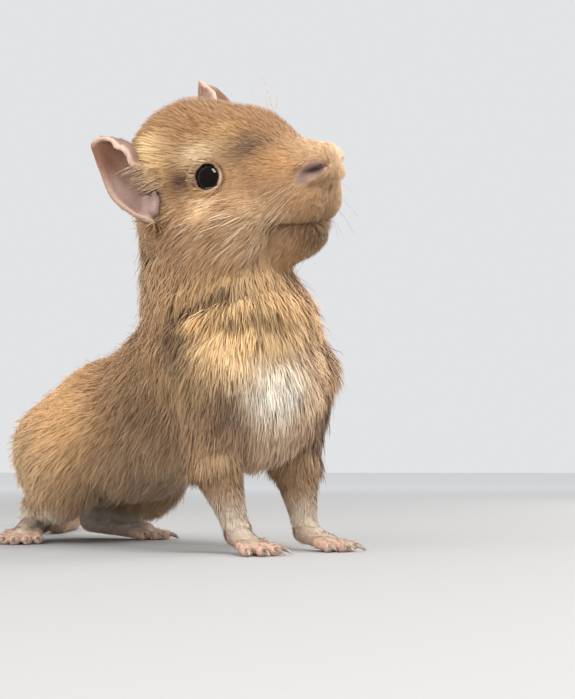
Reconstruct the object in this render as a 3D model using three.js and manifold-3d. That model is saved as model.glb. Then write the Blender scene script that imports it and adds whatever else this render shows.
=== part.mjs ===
// A degu (Octodon degus), life size, standing on four feet with the forequarters
// raised and the neck stretched up, head turned a little to its left and tilted.
// Millimetres, +X the way the animal faces, +Y its left side, +Z up, floor at z = 0.
// The solids follow the outer surface of the coat. The body is one smooth
// implicit surface, polygonised by region and parted with thin plane cuts.
import * as THREE from "three";
import { mergeVertices } from "three/addons/utils/BufferGeometryUtils.js";
import Module from "manifold-3d";

const wasm = await Module();
wasm.setup();

// ---------------------------------------------------------------- sizes, mm
const GAP = 0.3; // clear space between neighbouring solids

// trunk: [centre, half-axes] of blended ellipsoids
const RUMP = { c: [-64.5, 0, 27.5], r: [22.5, 21.8, 17.5] };
const LOIN = { c: [-42.5, 0, 33.2], r: [27, 23.6, 20.5] };
const THORAX = { c: [-17, 0, 41.5], r: [25, 21.8, 22.2] };
const CHEST = { c: [6.5, 0, 44], r: [19, 19, 23] };
const TRUNK_BLEND = 9;
const NECK = { a: [-2, -1, 56], b: [-2.5, -5.5, 80], ra: 22.5, rb: 19.5 };
const RUFF = { c: [13.2, -5, 61], r: [12, 14, 13.5] };

// head frame: where it sits and how it is turned (degrees)
const HEAD_AT = [4.6, -6.8, 91];
const HEAD_YAW = 13, // to the left
  HEAD_PITCH = 4.5, // nose up
  HEAD_ROLL = 14; // crown towards the right side
const HEAD_BLEND = 5.5,
  HEAD_NECK_BLEND = 9;
// in the head frame, symmetric pairs given for the left side
const CRANIUM = { c: [-6.8, 0, 6.6], r: [19.4, 17.8, 19] };
const FOREHEAD = { c: [6, 0, 6.6], r: [17, 13.5, 14.2] };
const SNOUT = { a: [8, 0, 1.8], b: [24.8, 0, 0.8], ra: 12.8, rb: 8.4 };
const LIP_PAD = { c: [22, 4, -5.6], r: [8.4, 6.2, 7.2] };
const CHEEK = { c: [3, 9.5, -8], r: [15.5, 10, 11] };
const CHIN = { c: [17, 0, -13.2], r: [10, 8, 7.4] };
const EYE = { c: [4.6, 12.0, 3.7], r: 4.3 };
const SOCKET = { c: [4.8, 17.2, 4.8], r: 4.9 };

// ears: base, direction to the tip, direction the hollow faces, height, the
// side whose margin is rolled in, and the half widths on both sides of the
// middle line from the base (0) to the tip (1)
const EAR = {
  right: {
    base: [-9.6, -12.6, 1.6], tip: [-0.435, -0.496, 0.752], face: [0.76, -0.64, -0.12], height: 22.6, roll: 1,
    plus: [[0, 3.2], [0.2, 2.8], [0.36, 2.2], [0.5, 3.6], [0.6, 6.0], [0.7, 7.1], [0.8, 6.7], [0.9, 3.9], [1, 0.9]],
    minus: [[0, 8.0], [0.2, 9.0], [0.4, 9.0], [0.5, 8.6], [0.6, 7.3], [0.7, 5.6], [0.8, 4.2], [0.9, 2.7], [1, 1.0]],
  },
  left: {
    base: [-9.5, 11.0, 9.0], tip: [-0.075, 0.330, 0.941], face: [0.9, -0.1, 0.1], height: 22.9, roll: -1,
    plus: [[0, 7.2], [0.2, 8.2], [0.4, 8.2], [0.6, 7.6], [0.8, 6.6], [0.92, 5.2], [1, 3.2]],
    minus: [[0, 5.0], [0.2, 5.5], [0.4, 6.5], [0.6, 7.6], [0.8, 6.8], [0.92, 5.2], [1, 3.2]],
  },
  openBase: 100, // half angle of the cup at the base and at the tip (deg)
  openTip: 44,
  curl: 4.4, // how far the rolled margin turns back, and how far it stands up
  lift: 1.7,
  thick: 1.0,
};

// legs, left side; feet: heading from straight ahead (deg, outwards)
const ARM = { a: [9, 13, 46], b: [8, 14, 25], ra: 11, rb: 7.2 };
const FOREARM = { a: [8, 13.5, 23], b: [14.5, 11.5, 5.2], ra: 6.2, rb: 3.2 };
const FOREFOOT = { at: [14.5, 11.5], heading: 8, palm: 7.5, toe: 6.2, toeR: 1.35, fan: 14, toes: 4 };
const THIGH = { c: [-56.5, 14.6, 23], r: [17.5, 9.6, 15] };
const SHANK = { a: [-56, 16, 14], b: [-74, 11.5, 9.5], ra: 6.4, rb: 4.6 };
const HINDFOOT = {
  right: { heel: [-76, -10], heading: 47 },
  left: { heel: [-78, 11], heading: 20 },
  length: 26, toe: 7.4, toeR: 1.45, fan: 9, toes: 5,
};
const CLAW = 3.2;

// tail: arc length, coat radius along it, heading from straight back (deg)
const TAIL = { start: [-83, 0.5, 18.5], length: 118, r0: 6.4, r1: 3.1, tuft: 4.4, lay: 36, dive: 26 };
const TAIL_NODES = 5;

// planes that part the body: a point and the normal that points to the first named piece
const CUT_HEAD_NECK = { p: [-6, 0, -13.5], n: [0.52, 0, 0.85] }; // in the head frame
const CUT_NECK_CHEST = { p: [0, 0, 58], n: [0.28, 0, 0.96] };
const CUT_CHEST_LOIN = { p: [-28, 0, 35], n: [1, 0, 0.12] };
const CUT_LOIN_RUMP = { p: [-54, 0, 30], n: [1, 0, 0.1] };
const ARM_CUT = { c: [9, 17.5, 38], r: [12, 10, 19] };
const THIGH_CUT = { c: [-57.5, 20, 20.5], r: [18, 11.5, 14.5] };
const FOREARM_TOP = 22,
  FOREFOOT_TOP = 6.5,
  HINDFOOT_TOP = 9.2;

// grid steps of the polygoniser
const STEP = { trunk: 6.3, neck: 6.0, head: 3.4 };
const SHORT = 0.35; // edges shorter than this are collapsed

// ---------------------------------------------------------------- vectors
const rad = (d) => (d * Math.PI) / 180;
const V = (a) => new THREE.Vector3(a[0], a[1], a[2]);
const headTurn = new THREE.Matrix4()
  .makeRotationZ(rad(HEAD_YAW))
  .multiply(new THREE.Matrix4().makeRotationY(rad(-HEAD_PITCH)))
  .multiply(new THREE.Matrix4().makeRotationX(rad(HEAD_ROLL)));
const headMatrix = new THREE.Matrix4().makeTranslation(...HEAD_AT).multiply(headTurn);
const headInverse = headMatrix.clone().invert().elements;
const fromHead = (a) => V(a).applyMatrix4(headMatrix);

// ---------------------------------------------------------------- distances
function ellipsoid(x, y, z, e, s = 1) {
  const px = x - e.c[0], py = y - s * e.c[1], pz = z - e.c[2];
  const ax = px / e.r[0], ay = py / e.r[1], az = pz / e.r[2];
  const k0 = Math.hypot(ax, ay, az);
  const k1 = Math.hypot(ax / e.r[0], ay / e.r[1], az / e.r[2]);
  return k1 < 1e-9 ? -Math.min(...e.r) : (k0 * (k0 - 1)) / k1;
}
function cone(x, y, z, e, s = 1) {
  const ax = e.a[0], ay = s * e.a[1], az = e.a[2];
  const bx = e.b[0] - ax, by = s * e.b[1] - ay, bz = e.b[2] - az;
  const px = x - ax, py = y - ay, pz = z - az;
  const t = Math.min(1, Math.max(0, (px * bx + py * by + pz * bz) / (bx * bx + by * by + bz * bz)));
  return Math.hypot(px - t * bx, py - t * by, pz - t * bz) - (e.ra + t * (e.rb - e.ra));
}
function blend(a, b, k) {
  const h = Math.max(k - Math.abs(a - b), 0) / k;
  return Math.min(a, b) - (h * h * k) / 4;
}

function headDistance(X, Y, Z) {
  const m = headInverse;
  const x = m[0] * X + m[4] * Y + m[8] * Z + m[12];
  const y = m[1] * X + m[5] * Y + m[9] * Z + m[13];
  const z = m[2] * X + m[6] * Y + m[10] * Z + m[14];
  let d = ellipsoid(x, y, z, CRANIUM);
  d = blend(d, ellipsoid(x, y, z, FOREHEAD), HEAD_BLEND);
  d = blend(d, cone(x, y, z, SNOUT), HEAD_BLEND);
  const s = y < 0 ? -1 : 1;
  d = blend(d, ellipsoid(x, y, z, CHEEK, s), HEAD_BLEND);
  d = blend(d, ellipsoid(x, y, z, LIP_PAD, s), 4);
  d = blend(d, ellipsoid(x, y, z, CHIN), 4);
  // the coat lies lower round the eye
  const e = SOCKET.c, q = SOCKET.r - Math.hypot(x - e[0], y - s * e[1], z - e[2]);
  return -blend(-d, -q, 2.5);
}

// toes and sole of a foot: a list of cones in world space
function footCones(at, headingDeg, side, f, hind) {
  const out = [];
  const dir = (deg) => {
    const t = rad(-side * deg) * -1;
    return [Math.cos(t), Math.sin(t)];
  };
  const [dx, dy] = dir(headingDeg);
  const len = hind ? f.length - f.toe : f.palm;
  const ball = [at[0] + dx * len, at[1] + dy * len];
  out.push({
    a: [at[0], at[1], hind ? 5.6 : 4.6], b: [ball[0], ball[1], hind ? 2.35 : 2.0],
    ra: hind ? 4.2 : 3.1, rb: hind ? 2.9 : 2.5, k: 2.5,
  });
  const mid = (f.toes - 1) / 2;
  for (let i = 0; i < f.toes; i++) {
    const off = i - mid;
    const [tx, ty] = dir(headingDeg + off * f.fan);
    const nx = -dy * side, ny = dx * side;
    const root = [ball[0] + nx * off * 1.9 - dx * Math.abs(off) * 0.9, ball[1] + ny * off * 1.9 - dy * Math.abs(off) * 0.9];
    const L = f.toe * (1 - 0.09 * off * off);
    out.push({
      a: [root[0], root[1], 2.1], b: [root[0] + tx * L, root[1] + ty * L, f.toeR * 0.86],
      ra: f.toeR * 1.15, rb: f.toeR, k: 1.1, tip: [root[0] + tx * L, root[1] + ty * L], dir: [tx, ty],
    });
  }
  return out;
}
const foreFeet = { left: footCones(FOREFOOT.at, FOREFOOT.heading, 1, FOREFOOT, false),
  right: footCones([FOREFOOT.at[0], -FOREFOOT.at[1]], FOREFOOT.heading, -1, FOREFOOT, false) };
const hindFeet = { left: footCones(HINDFOOT.left.heel, HINDFOOT.left.heading, 1, HINDFOOT, true),
  right: footCones(HINDFOOT.right.heel, HINDFOOT.right.heading, -1, HINDFOOT, true) };
function clawCones(cones) {
  return cones.filter((c) => c.tip).map((c) => ({
    a: [c.tip[0], c.tip[1], c.b[2] + 0.3], b: [c.tip[0] + c.dir[0] * (CLAW + 0.6), c.tip[1] + c.dir[1] * (CLAW + 0.6), 0.75],
    ra: c.rb * 0.75, rb: 0.55, k: 0.5,
  }));
}

// tail centre line and radius at arc length s
function tailPath() {
  const pts = [];
  let [x, y] = TAIL.start;
  const ds = 2;
  for (let s = 0; s <= TAIL.length + 1e-6; s += ds) {
    const u = s / TAIL.length;
    const heading = rad(180 - (24 + 26 * Math.sin(Math.PI * Math.min(1, u * 1.25)) - 14 * u));
    const r = s < TAIL.length * 0.72
      ? TAIL.r0 + (TAIL.r1 - TAIL.r0) * Math.pow(u / 0.72, 0.6)
      : TAIL.r1 + (TAIL.tuft - TAIL.r1) * Math.sin((Math.PI * (u - 0.72)) / 0.28) ** 1 * 0.9 - 1.1 * Math.max(0, (u - 0.9) / 0.1);
    const t = Math.min(1, s / TAIL.lay);
    const drop = t * t * (3 - 2 * t);
    const low = r - 0.35;
    pts.push({ p: [x, y, TAIL.start[2] * (1 - drop) + low * drop], r, s });
    x += ds * Math.cos(heading);
    y += ds * Math.sin(heading);
  }
  return pts;
}
const tail = tailPath();
const tailBase = { a: tail[0].p, b: tail[6].p, ra: tail[0].r, rb: tail[6].r };

function bodyDistance(x, y, z) {
  const s = y < 0 ? -1 : 1;
  let d = ellipsoid(x, y, z, RUMP);
  d = blend(d, ellipsoid(x, y, z, LOIN), TRUNK_BLEND);
  d = blend(d, ellipsoid(x, y, z, THORAX), TRUNK_BLEND);
  d = blend(d, ellipsoid(x, y, z, CHEST), TRUNK_BLEND);
  d = blend(d, cone(x, y, z, NECK), TRUNK_BLEND);
  d = blend(d, ellipsoid(x, y, z, RUFF), 8);
  d = blend(d, cone(x, y, z, tailBase), 7);
  d = blend(d, ellipsoid(x, y, z, THIGH, s), 4);
  d = blend(d, cone(x, y, z, ARM, s), 5);
  d = blend(d, cone(x, y, z, FOREARM, s), 3);
  d = blend(d, cone(x, y, z, SHANK, s), 3);
  d = blend(d, headDistance(x, y, z), HEAD_NECK_BLEND);
  return d;
}

// ---------------------------------------------------------------- polygoniser
// Surface nets inside a box [lo, hi]: one vertex for each cell the surface crosses.
function polygonise(f, lo, hi, h) {
  const n = [0, 1, 2].map((i) => Math.ceil((hi[i] - lo[i]) / h) + 3);
  const at = (i, k) => lo[k] + (i - 1) * h;
  const inside = (x, y, z) => Math.max(f(x, y, z),
    lo[0] - x, x - hi[0], lo[1] - y, y - hi[1], lo[2] - z, z - hi[2]);
  const g = new Float64Array(n[0] * n[1] * n[2]);
  const id = (i, j, k) => i + n[0] * (j + n[1] * k);
  for (let k = 0; k < n[2]; k++) for (let j = 0; j < n[1]; j++) for (let i = 0; i < n[0]; i++)
    g[id(i, j, k)] = inside(at(i, 0), at(j, 1), at(k, 2)) || 1e-9;
  const cell = new Int32Array(n[0] * n[1] * n[2]).fill(-1);
  const pos = [], tri = [];
  for (let k = 0; k < n[2] - 1; k++) for (let j = 0; j < n[1] - 1; j++) for (let i = 0; i < n[0] - 1; i++) {
    let count = 0, sx = 0, sy = 0, sz = 0;
    for (let e = 0; e < 12; e++) {
      const axis = e >> 2, u = e & 1, v = (e >> 1) & 1;
      const a = [i, j, k], b1 = (axis + 1) % 3, b2 = (axis + 2) % 3;
      a[b1] += u; a[b2] += v;
      const b = a.slice(); b[axis] += 1;
      const ga = g[id(...a)], gb = g[id(...b)];
      if (ga < 0 === gb < 0) continue;
      const t = ga / (ga - gb);
      const q = [at(a[0], 0), at(a[1], 1), at(a[2], 2)];
      q[axis] += t * h;
      sx += q[0]; sy += q[1]; sz += q[2]; count++;
    }
    if (!count) continue;
    cell[id(i, j, k)] = pos.length / 3;
    pos.push(sx / count, sy / count, sz / count);
  }
  for (let k = 1; k < n[2] - 1; k++) for (let j = 1; j < n[1] - 1; j++) for (let i = 1; i < n[0] - 1; i++)
    for (let axis = 0; axis < 3; axis++) {
      const b = [i, j, k]; b[axis] += 1;
      const ga = g[id(i, j, k)], gb = g[id(...b)];
      if (ga < 0 === gb < 0) continue;
      const b1 = (axis + 1) % 3, b2 = (axis + 2) % 3;
      const c = (u, v) => { const q = [i, j, k]; q[b1] -= u; q[b2] -= v; return cell[id(...q)]; };
      const q = [c(0, 0), c(1, 0), c(1, 1), c(0, 1)];
      if (ga > 0) q.reverse();
      const P = (m) => [pos[3 * m], pos[3 * m + 1], pos[3 * m + 2]];
      const dist = (m, o) => { const A = P(m), B = P(o); return Math.hypot(A[0] - B[0], A[1] - B[1], A[2] - B[2]); };
      if (dist(q[0], q[2]) < dist(q[1], q[3])) tri.push(q[0], q[1], q[2], q[0], q[2], q[3]);
      else tri.push(q[1], q[2], q[3], q[1], q[3], q[0]);
    }
  // one Newton step puts each vertex on the surface (not on the box)
  for (let m = 0; m < pos.length; m += 3) {
    const [x, y, z] = [pos[m], pos[m + 1], pos[m + 2]];
    const d = f(x, y, z);
    if (Math.abs(d) > 0.6 * h || Math.max(lo[0] - x, x - hi[0], lo[1] - y, y - hi[1], lo[2] - z, z - hi[2]) > -0.7 * h) continue;
    const e = 0.05;
    const gx = (f(x + e, y, z) - d) / e, gy = (f(x, y + e, z) - d) / e, gz = (f(x, y, z + e) - d) / e;
    const gg = gx * gx + gy * gy + gz * gz;
    if (gg < 0.05) continue;
    pos[m] -= (d * gx) / gg; pos[m + 1] -= (d * gy) / gg; pos[m + 2] -= (d * gz) / gg;
  }
  return new wasm.Manifold(new wasm.Mesh({ numProp: 3, vertProperties: new Float32Array(pos), triVerts: new Uint32Array(tri) }));
}

function solidOf(geometry) {
  const g = geometry.clone();
  for (const name of Object.keys(g.attributes)) if (name !== "position") g.deleteAttribute(name);
  const m = mergeVertices(g, 1e-4);
  return new wasm.Manifold(new wasm.Mesh({ numProp: 3, vertProperties: new Float32Array(m.attributes.position.array), triVerts: new Uint32Array(m.index.array) }));
}
// everything on one side of a plane, as a big box turned onto it and moved back by `back`
function halfSpace(p, n, back) {
  const N = V(n).normalize();
  const g = new THREE.BoxGeometry(400, 400, 400);
  g.translate(0, 0, 200);
  g.applyMatrix4(new THREE.Matrix4().makeRotationFromQuaternion(new THREE.Quaternion().setFromUnitVectors(new THREE.Vector3(0, 0, 1), N)));
  const at = V(p).addScaledVector(N, back);
  g.translate(at.x, at.y, at.z);
  return solidOf(g);
}
function boxSolid(lo, hi) {
  const g = new THREE.BoxGeometry(hi[0] - lo[0], hi[1] - lo[1], hi[2] - lo[2]);
  g.translate((lo[0] + hi[0]) / 2, (lo[1] + hi[1]) / 2, (lo[2] + hi[2]) / 2);
  return solidOf(g);
}
function ballSolid(c, r, grow = 0, w = 16, hgt = 10) {
  const g = new THREE.SphereGeometry(1, w, hgt);
  g.scale(r[0] + grow, r[1] + grow, r[2] + grow);
  g.translate(c[0], c[1], c[2]);
  return solidOf(g);
}
// a tapered rod with round ends: rings of `sides` points round the line from a to b
function rodSolid({ a, b, ra, rb }, sides, caps = 1) {
  const A = V(a), B = V(b), T = B.clone().sub(A).normalize();
  const U = new THREE.Vector3(0, 0, 1).addScaledVector(T, -T.z).normalize();
  const W = new THREE.Vector3().crossVectors(T, U);
  const rings = [];
  for (let i = 0; i <= caps; i++) { const q = (Math.PI / 2) * (i / (caps + 0.45) + 0.45 / (caps + 0.45)); rings.push([A, -Math.cos(q) * ra, Math.sin(q) * ra]); }
  for (let i = caps; i >= 0; i--) { const q = (Math.PI / 2) * (i / (caps + 0.45) + 0.45 / (caps + 0.45)); rings.push([B, Math.cos(q) * rb, Math.sin(q) * rb]); }
  const pos = [], tri = [];
  for (const [c, along, r] of rings) for (let k = 0; k < sides; k++) {
    const q = rad((k + 0.5) * (360 / sides));
    const p = c.clone().addScaledVector(T, along).addScaledVector(U, Math.cos(q) * r).addScaledVector(W, Math.sin(q) * r);
    pos.push(p.x, p.y, p.z);
  }
  const tipA = A.clone().addScaledVector(T, -ra), tipB = B.clone().addScaledVector(T, rb);
  pos.push(tipA.x, tipA.y, tipA.z, tipB.x, tipB.y, tipB.z);
  const n = rings.length, last = n * sides;
  for (let j = 0; j < n - 1; j++) for (let k = 0; k < sides; k++) {
    const p = j * sides + k, q = j * sides + ((k + 1) % sides);
    tri.push(p, q, p + sides, q, q + sides, p + sides);
  }
  for (let k = 0; k < sides; k++) tri.push(last, (k + 1) % sides, k, last + 1, (n - 1) * sides + k, (n - 1) * sides + ((k + 1) % sides));
  let m = new wasm.Manifold(new wasm.Mesh({ numProp: 3, vertProperties: new Float32Array(pos), triVerts: new Uint32Array(tri) }));
  if (m.volume() < 0) {
    for (let i = 0; i < tri.length; i += 3) [tri[i + 1], tri[i + 2]] = [tri[i + 2], tri[i + 1]];
    m = new wasm.Manifold(new wasm.Mesh({ numProp: 3, vertProperties: new Float32Array(pos), triVerts: new Uint32Array(tri) }));
  }
  return m;
}
const flip = (c, side) => [c[0], side * c[1], c[2]];
const biggest = (s) => s.decompose().sort((a, b) => b.volume() - a.volume())[0];
// edges shorter than SHORT are collapsed, wherever that keeps the surface closed
function tidy(solid) {
  const m = solid.getMesh(), v = [];
  for (let i = 0; i < m.numVert; i++) v.push(new THREE.Vector3(...m.vertProperties.subarray(i * m.numProp, i * m.numProp + 3)));
  let tris = [];
  for (let i = 0; i < m.triVerts.length; i += 3) tris.push([m.triVerts[i], m.triVerts[i + 1], m.triVerts[i + 2]]);
  for (let again = true; again; ) {
    again = false;
    const around = new Map();
    const link = (a, b) => { if (!around.has(a)) around.set(a, new Set()); around.get(a).add(b); };
    for (const t of tris) for (let e = 0; e < 3; e++) { link(t[e], t[(e + 1) % 3]); link(t[(e + 1) % 3], t[e]); }
    const moved = new Map(), locked = new Set();
    for (const [a, near] of around) for (const b of near) {
      if (a > b || locked.has(a) || locked.has(b) || v[a].distanceTo(v[b]) > SHORT) continue;
      const common = [...near].filter((c) => around.get(b).has(c));
      if (common.length !== 2) continue;
      moved.set(b, a);
      for (const c of [a, b, ...near, ...around.get(b)]) locked.add(c);
    }
    if (moved.size) {
      again = true;
      tris = tris.map((t) => t.map((c) => (moved.has(c) ? moved.get(c) : c))).filter((t) => t[0] !== t[1] && t[1] !== t[2] && t[0] !== t[2]);
    }
  }
  const used = [...new Set(tris.flat())], at = new Map(used.map((c, i) => [c, i]));
  return new THREE.BufferGeometry()
    .setAttribute("position", new THREE.BufferAttribute(new Float32Array(used.flatMap((c) => v[c].toArray())), 3))
    .setIndex(tris.flat().map((c) => at.get(c)));
}
const floorUp = boxSolid([-400, -400, 0], [400, 400, 400]);

// ---------------------------------------------------------------- the pieces
const pieces = {};
const H = GAP / 2;
const headN = V(CUT_HEAD_NECK.n).applyMatrix4(headTurn).toArray();
const headP = fromHead(CUT_HEAD_NECK.p).toArray();
const neg = (n) => n.map((v) => -v);

// rear and front of the trunk
const trunk = polygonise(bodyDistance, [-112, -36, 2], [44, 36, 72], STEP.trunk);
const footRoof = { fore: FOREARM_TOP + H, hind: HINDFOOT_TOP + H };
const legBox = (side, grow) => {
  const y = [4, 26].map((v) => v * side).sort((a, b) => a - b);
  return boxSolid([-3 - grow, y[0] - grow, -5], [30 + grow, y[1] + grow, FOREARM_TOP + grow]);
};
let front = trunk.intersect(halfSpace(CUT_CHEST_LOIN.p, CUT_CHEST_LOIN.n, H)).intersect(halfSpace(CUT_NECK_CHEST.p, neg(CUT_NECK_CHEST.n), H));
let middle = trunk.intersect(halfSpace(CUT_CHEST_LOIN.p, neg(CUT_CHEST_LOIN.n), H)).intersect(halfSpace(CUT_LOIN_RUMP.p, CUT_LOIN_RUMP.n, H));
let rear = trunk.intersect(halfSpace(CUT_LOIN_RUMP.p, neg(CUT_LOIN_RUMP.n), H));
const roof = halfSpace([0, 0, HINDFOOT_TOP], [0, 0, 1], H);
middle = middle.intersect(roof);
rear = rear.intersect(roof);
front = front.intersect(roof);
// the tail leaves the rump at a plane across its line
const cutAt = 4;
const tdir = V(tail[cutAt + 1].p).sub(V(tail[cutAt - 1].p)).normalize();
rear = rear.intersect(halfSpace(tail[cutAt].p, tdir.clone().negate().toArray(), H));

for (const [name, side] of [["right", -1], ["left", 1]]) {
  const tc = flip(THIGH_CUT.c, side), ac = flip(ARM_CUT.c, side);
  const whole = middle.add(rear).add(trunk.intersect(halfSpace(CUT_CHEST_LOIN.p, neg(CUT_CHEST_LOIN.n), H)).intersect(roof));
  pieces["thigh_" + name] = biggest(whole.intersect(ballSolid(tc, THIGH_CUT.r, -H, 14, 9)));
  middle = middle.subtract(ballSolid(tc, THIGH_CUT.r, H, 14, 9));
  rear = rear.subtract(ballSolid(tc, THIGH_CUT.r, H, 14, 9));
  front = front.subtract(legBox(side, H));
  pieces["upper_arm_" + name] = biggest(front.intersect(ballSolid(ac, ARM_CUT.r, -H, 14, 9)));
  front = front.subtract(ballSolid(ac, ARM_CUT.r, H, 14, 9));

  // lower legs and feet: tapered rods joined, cut level with the floor
  const lower = { a: flip(FOREARM.a, side), b: flip(FOREARM.b, side), ra: FOREARM.ra, rb: FOREARM.rb };
  const join = (list) => list.reduce((m, c) => m.add(c));
  const foot = (cones) => join([...cones.map((c) => rodSolid(c, c.tip ? 6 : 8, c.tip ? 0 : 1)), ...clawCones(cones).map((c) => rodSolid(c, 4, 0))]);
  const arm = rodSolid(lower, 12, 2);
  pieces["forearm_" + name] = biggest(arm.intersect(halfSpace([0, 0, FOREARM_TOP], [0, 0, -1], H)).intersect(halfSpace([0, 0, FOREFOOT_TOP], [0, 0, 1], H)));
  pieces["forefoot_" + name] = biggest(arm.add(foot(foreFeet[name])).intersect(halfSpace([0, 0, FOREFOOT_TOP], [0, 0, -1], H)).intersect(floorUp));
  pieces["hindfoot_" + name] = biggest(foot(hindFeet[name]).intersect(halfSpace([0, 0, HINDFOOT_TOP], [0, 0, -1], H)).intersect(floorUp));
}
pieces.chest = biggest(front);
pieces.loin = biggest(middle);
pieces.rump = biggest(rear);

pieces.neck = biggest(polygonise(bodyDistance, [-36, -36, 45], [42, 32, 100], STEP.neck)
  .intersect(halfSpace(CUT_NECK_CHEST.p, CUT_NECK_CHEST.n, H)).intersect(halfSpace(headP, neg(headN), H)));

// head, with sockets for the eyes
const headLo = [-34, -36, 62], headHi = [44, 26, 118];
const headWhole = polygonise(bodyDistance, headLo, headHi, STEP.head);
let head = headWhole.intersect(halfSpace(headP, headN, H));
const headCoat = polygonise((x, y, z) => bodyDistance(x, y, z) - GAP * 1.3, headLo.map((v) => v - 1), headHi.map((v) => v + 1), STEP.head);
function along(list, v) {
  const i = Math.max(1, list.findIndex(([x]) => x >= v - 1e-9));
  const [x0, y0] = list[i - 1], [x1, y1] = list[i];
  return y0 + ((y1 - y0) * (v - x0)) / (x1 - x0);
}
function earShell(ear) {
  const nu = 10, nv = 8;
  const B = V(ear.base), T = V(ear.tip).normalize();
  const N0 = V(ear.face);
  const N = N0.clone().addScaledVector(T, -N0.dot(T)).normalize();
  const S = new THREE.Vector3().crossVectors(T, N).normalize();
  const clamp = (t) => Math.min(1, Math.max(0, t));
  const P = [];
  for (let v = 0; v <= nv; v++) for (let u = 0; u <= nu; u++) P.push(earPoint(v / nv, (2 * u) / nu - 1));
  function earPoint(v, u) {
    const w = along(u > 0 ? ear.plus : ear.minus, v);
    const open = rad(EAR.openBase + (EAR.openTip - EAR.openBase) * v), R = w / Math.sin(Math.min(open, Math.PI / 2));
    const a = u * open;
    const t = clamp((u * ear.roll - 0.5) / 0.5) * clamp((v - 0.3) / 0.3) * clamp((1 - v) * 5);
    const across = R * Math.sin(a) - ear.roll * EAR.curl * Math.pow(t, 1.7);
    const up = R * (1 - Math.cos(a)) * 0.75 - 1.5 * v * v + EAR.lift * Math.sin((t * Math.PI) / 2);
    return B.clone().addScaledVector(T, ear.height * v).addScaledVector(S, across).addScaledVector(N, up);
  }
  const pos = [], tri = [], id = (v, u, l) => l * (nu + 1) * (nv + 1) + v * (nu + 1) + u;
  const normal = (v, u) => {
    const g = (a, b) => P[Math.min(nv, Math.max(0, a)) * (nu + 1) + Math.min(nu, Math.max(0, b))];
    return new THREE.Vector3().crossVectors(g(v, u + 1).clone().sub(g(v, u - 1)), g(v + 1, u).clone().sub(g(v - 1, u))).normalize();
  };
  const mid = normal(4, 5).dot(N) > 0 ? 1 : -1;
  for (const l of [0, 1]) for (let v = 0; v <= nv; v++) for (let u = 0; u <= nu; u++) {
    const q = P[v * (nu + 1) + u].clone().addScaledVector(normal(v, u), (l ? -1 : 1) * mid * EAR.thick / 2);
    pos.push(q.applyMatrix4(headMatrix)); // layer 0 faces the hollow
  }
  const quad = (a, b, c, d) => tri.push(a, b, c, a, c, d);
  for (let v = 0; v < nv; v++) for (let u = 0; u < nu; u++) {
    quad(id(v, u, 0), id(v, u + 1, 0), id(v + 1, u + 1, 0), id(v + 1, u, 0));
    quad(id(v, u, 1), id(v + 1, u, 1), id(v + 1, u + 1, 1), id(v, u + 1, 1));
  }
  const rim = [];
  for (let u = 0; u < nu; u++) rim.push([0, u, 0, u + 1]);
  for (let v = 0; v < nv; v++) rim.push([v, nu, v + 1, nu]);
  for (let u = nu; u > 0; u--) rim.push([nv, u, nv, u - 1]);
  for (let v = nv; v > 0; v--) rim.push([v, 0, v - 1, 0]);
  for (const [a, b, c, d] of rim) quad(id(a, b, 1), id(c, d, 1), id(c, d, 0), id(a, b, 0));
  const flat = new Float32Array(pos.flatMap((p) => [p.x, p.y, p.z]));
  let m = new wasm.Manifold(new wasm.Mesh({ numProp: 3, vertProperties: flat, triVerts: new Uint32Array(tri) }));
  if (m.volume() < 0) {
    for (let i = 0; i < tri.length; i += 3) [tri[i + 1], tri[i + 2]] = [tri[i + 2], tri[i + 1]];
    m = new wasm.Manifold(new wasm.Mesh({ numProp: 3, vertProperties: flat, triVerts: new Uint32Array(tri) }));
  }
  return m;
}
for (const [name, side] of [["right", -1], ["left", 1]]) {
  const c = fromHead(flip(EYE.c, side)).toArray();
  head = head.subtract(ballSolid(c, [EYE.r, EYE.r, EYE.r], GAP, 12, 8));
  pieces["eye_" + name] = ballSolid(c, [EYE.r, EYE.r, EYE.r], 0, 12, 8);
  pieces["ear_" + name] = biggest(earShell(EAR[name]).subtract(headCoat));
}
pieces.head = biggest(head);

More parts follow.
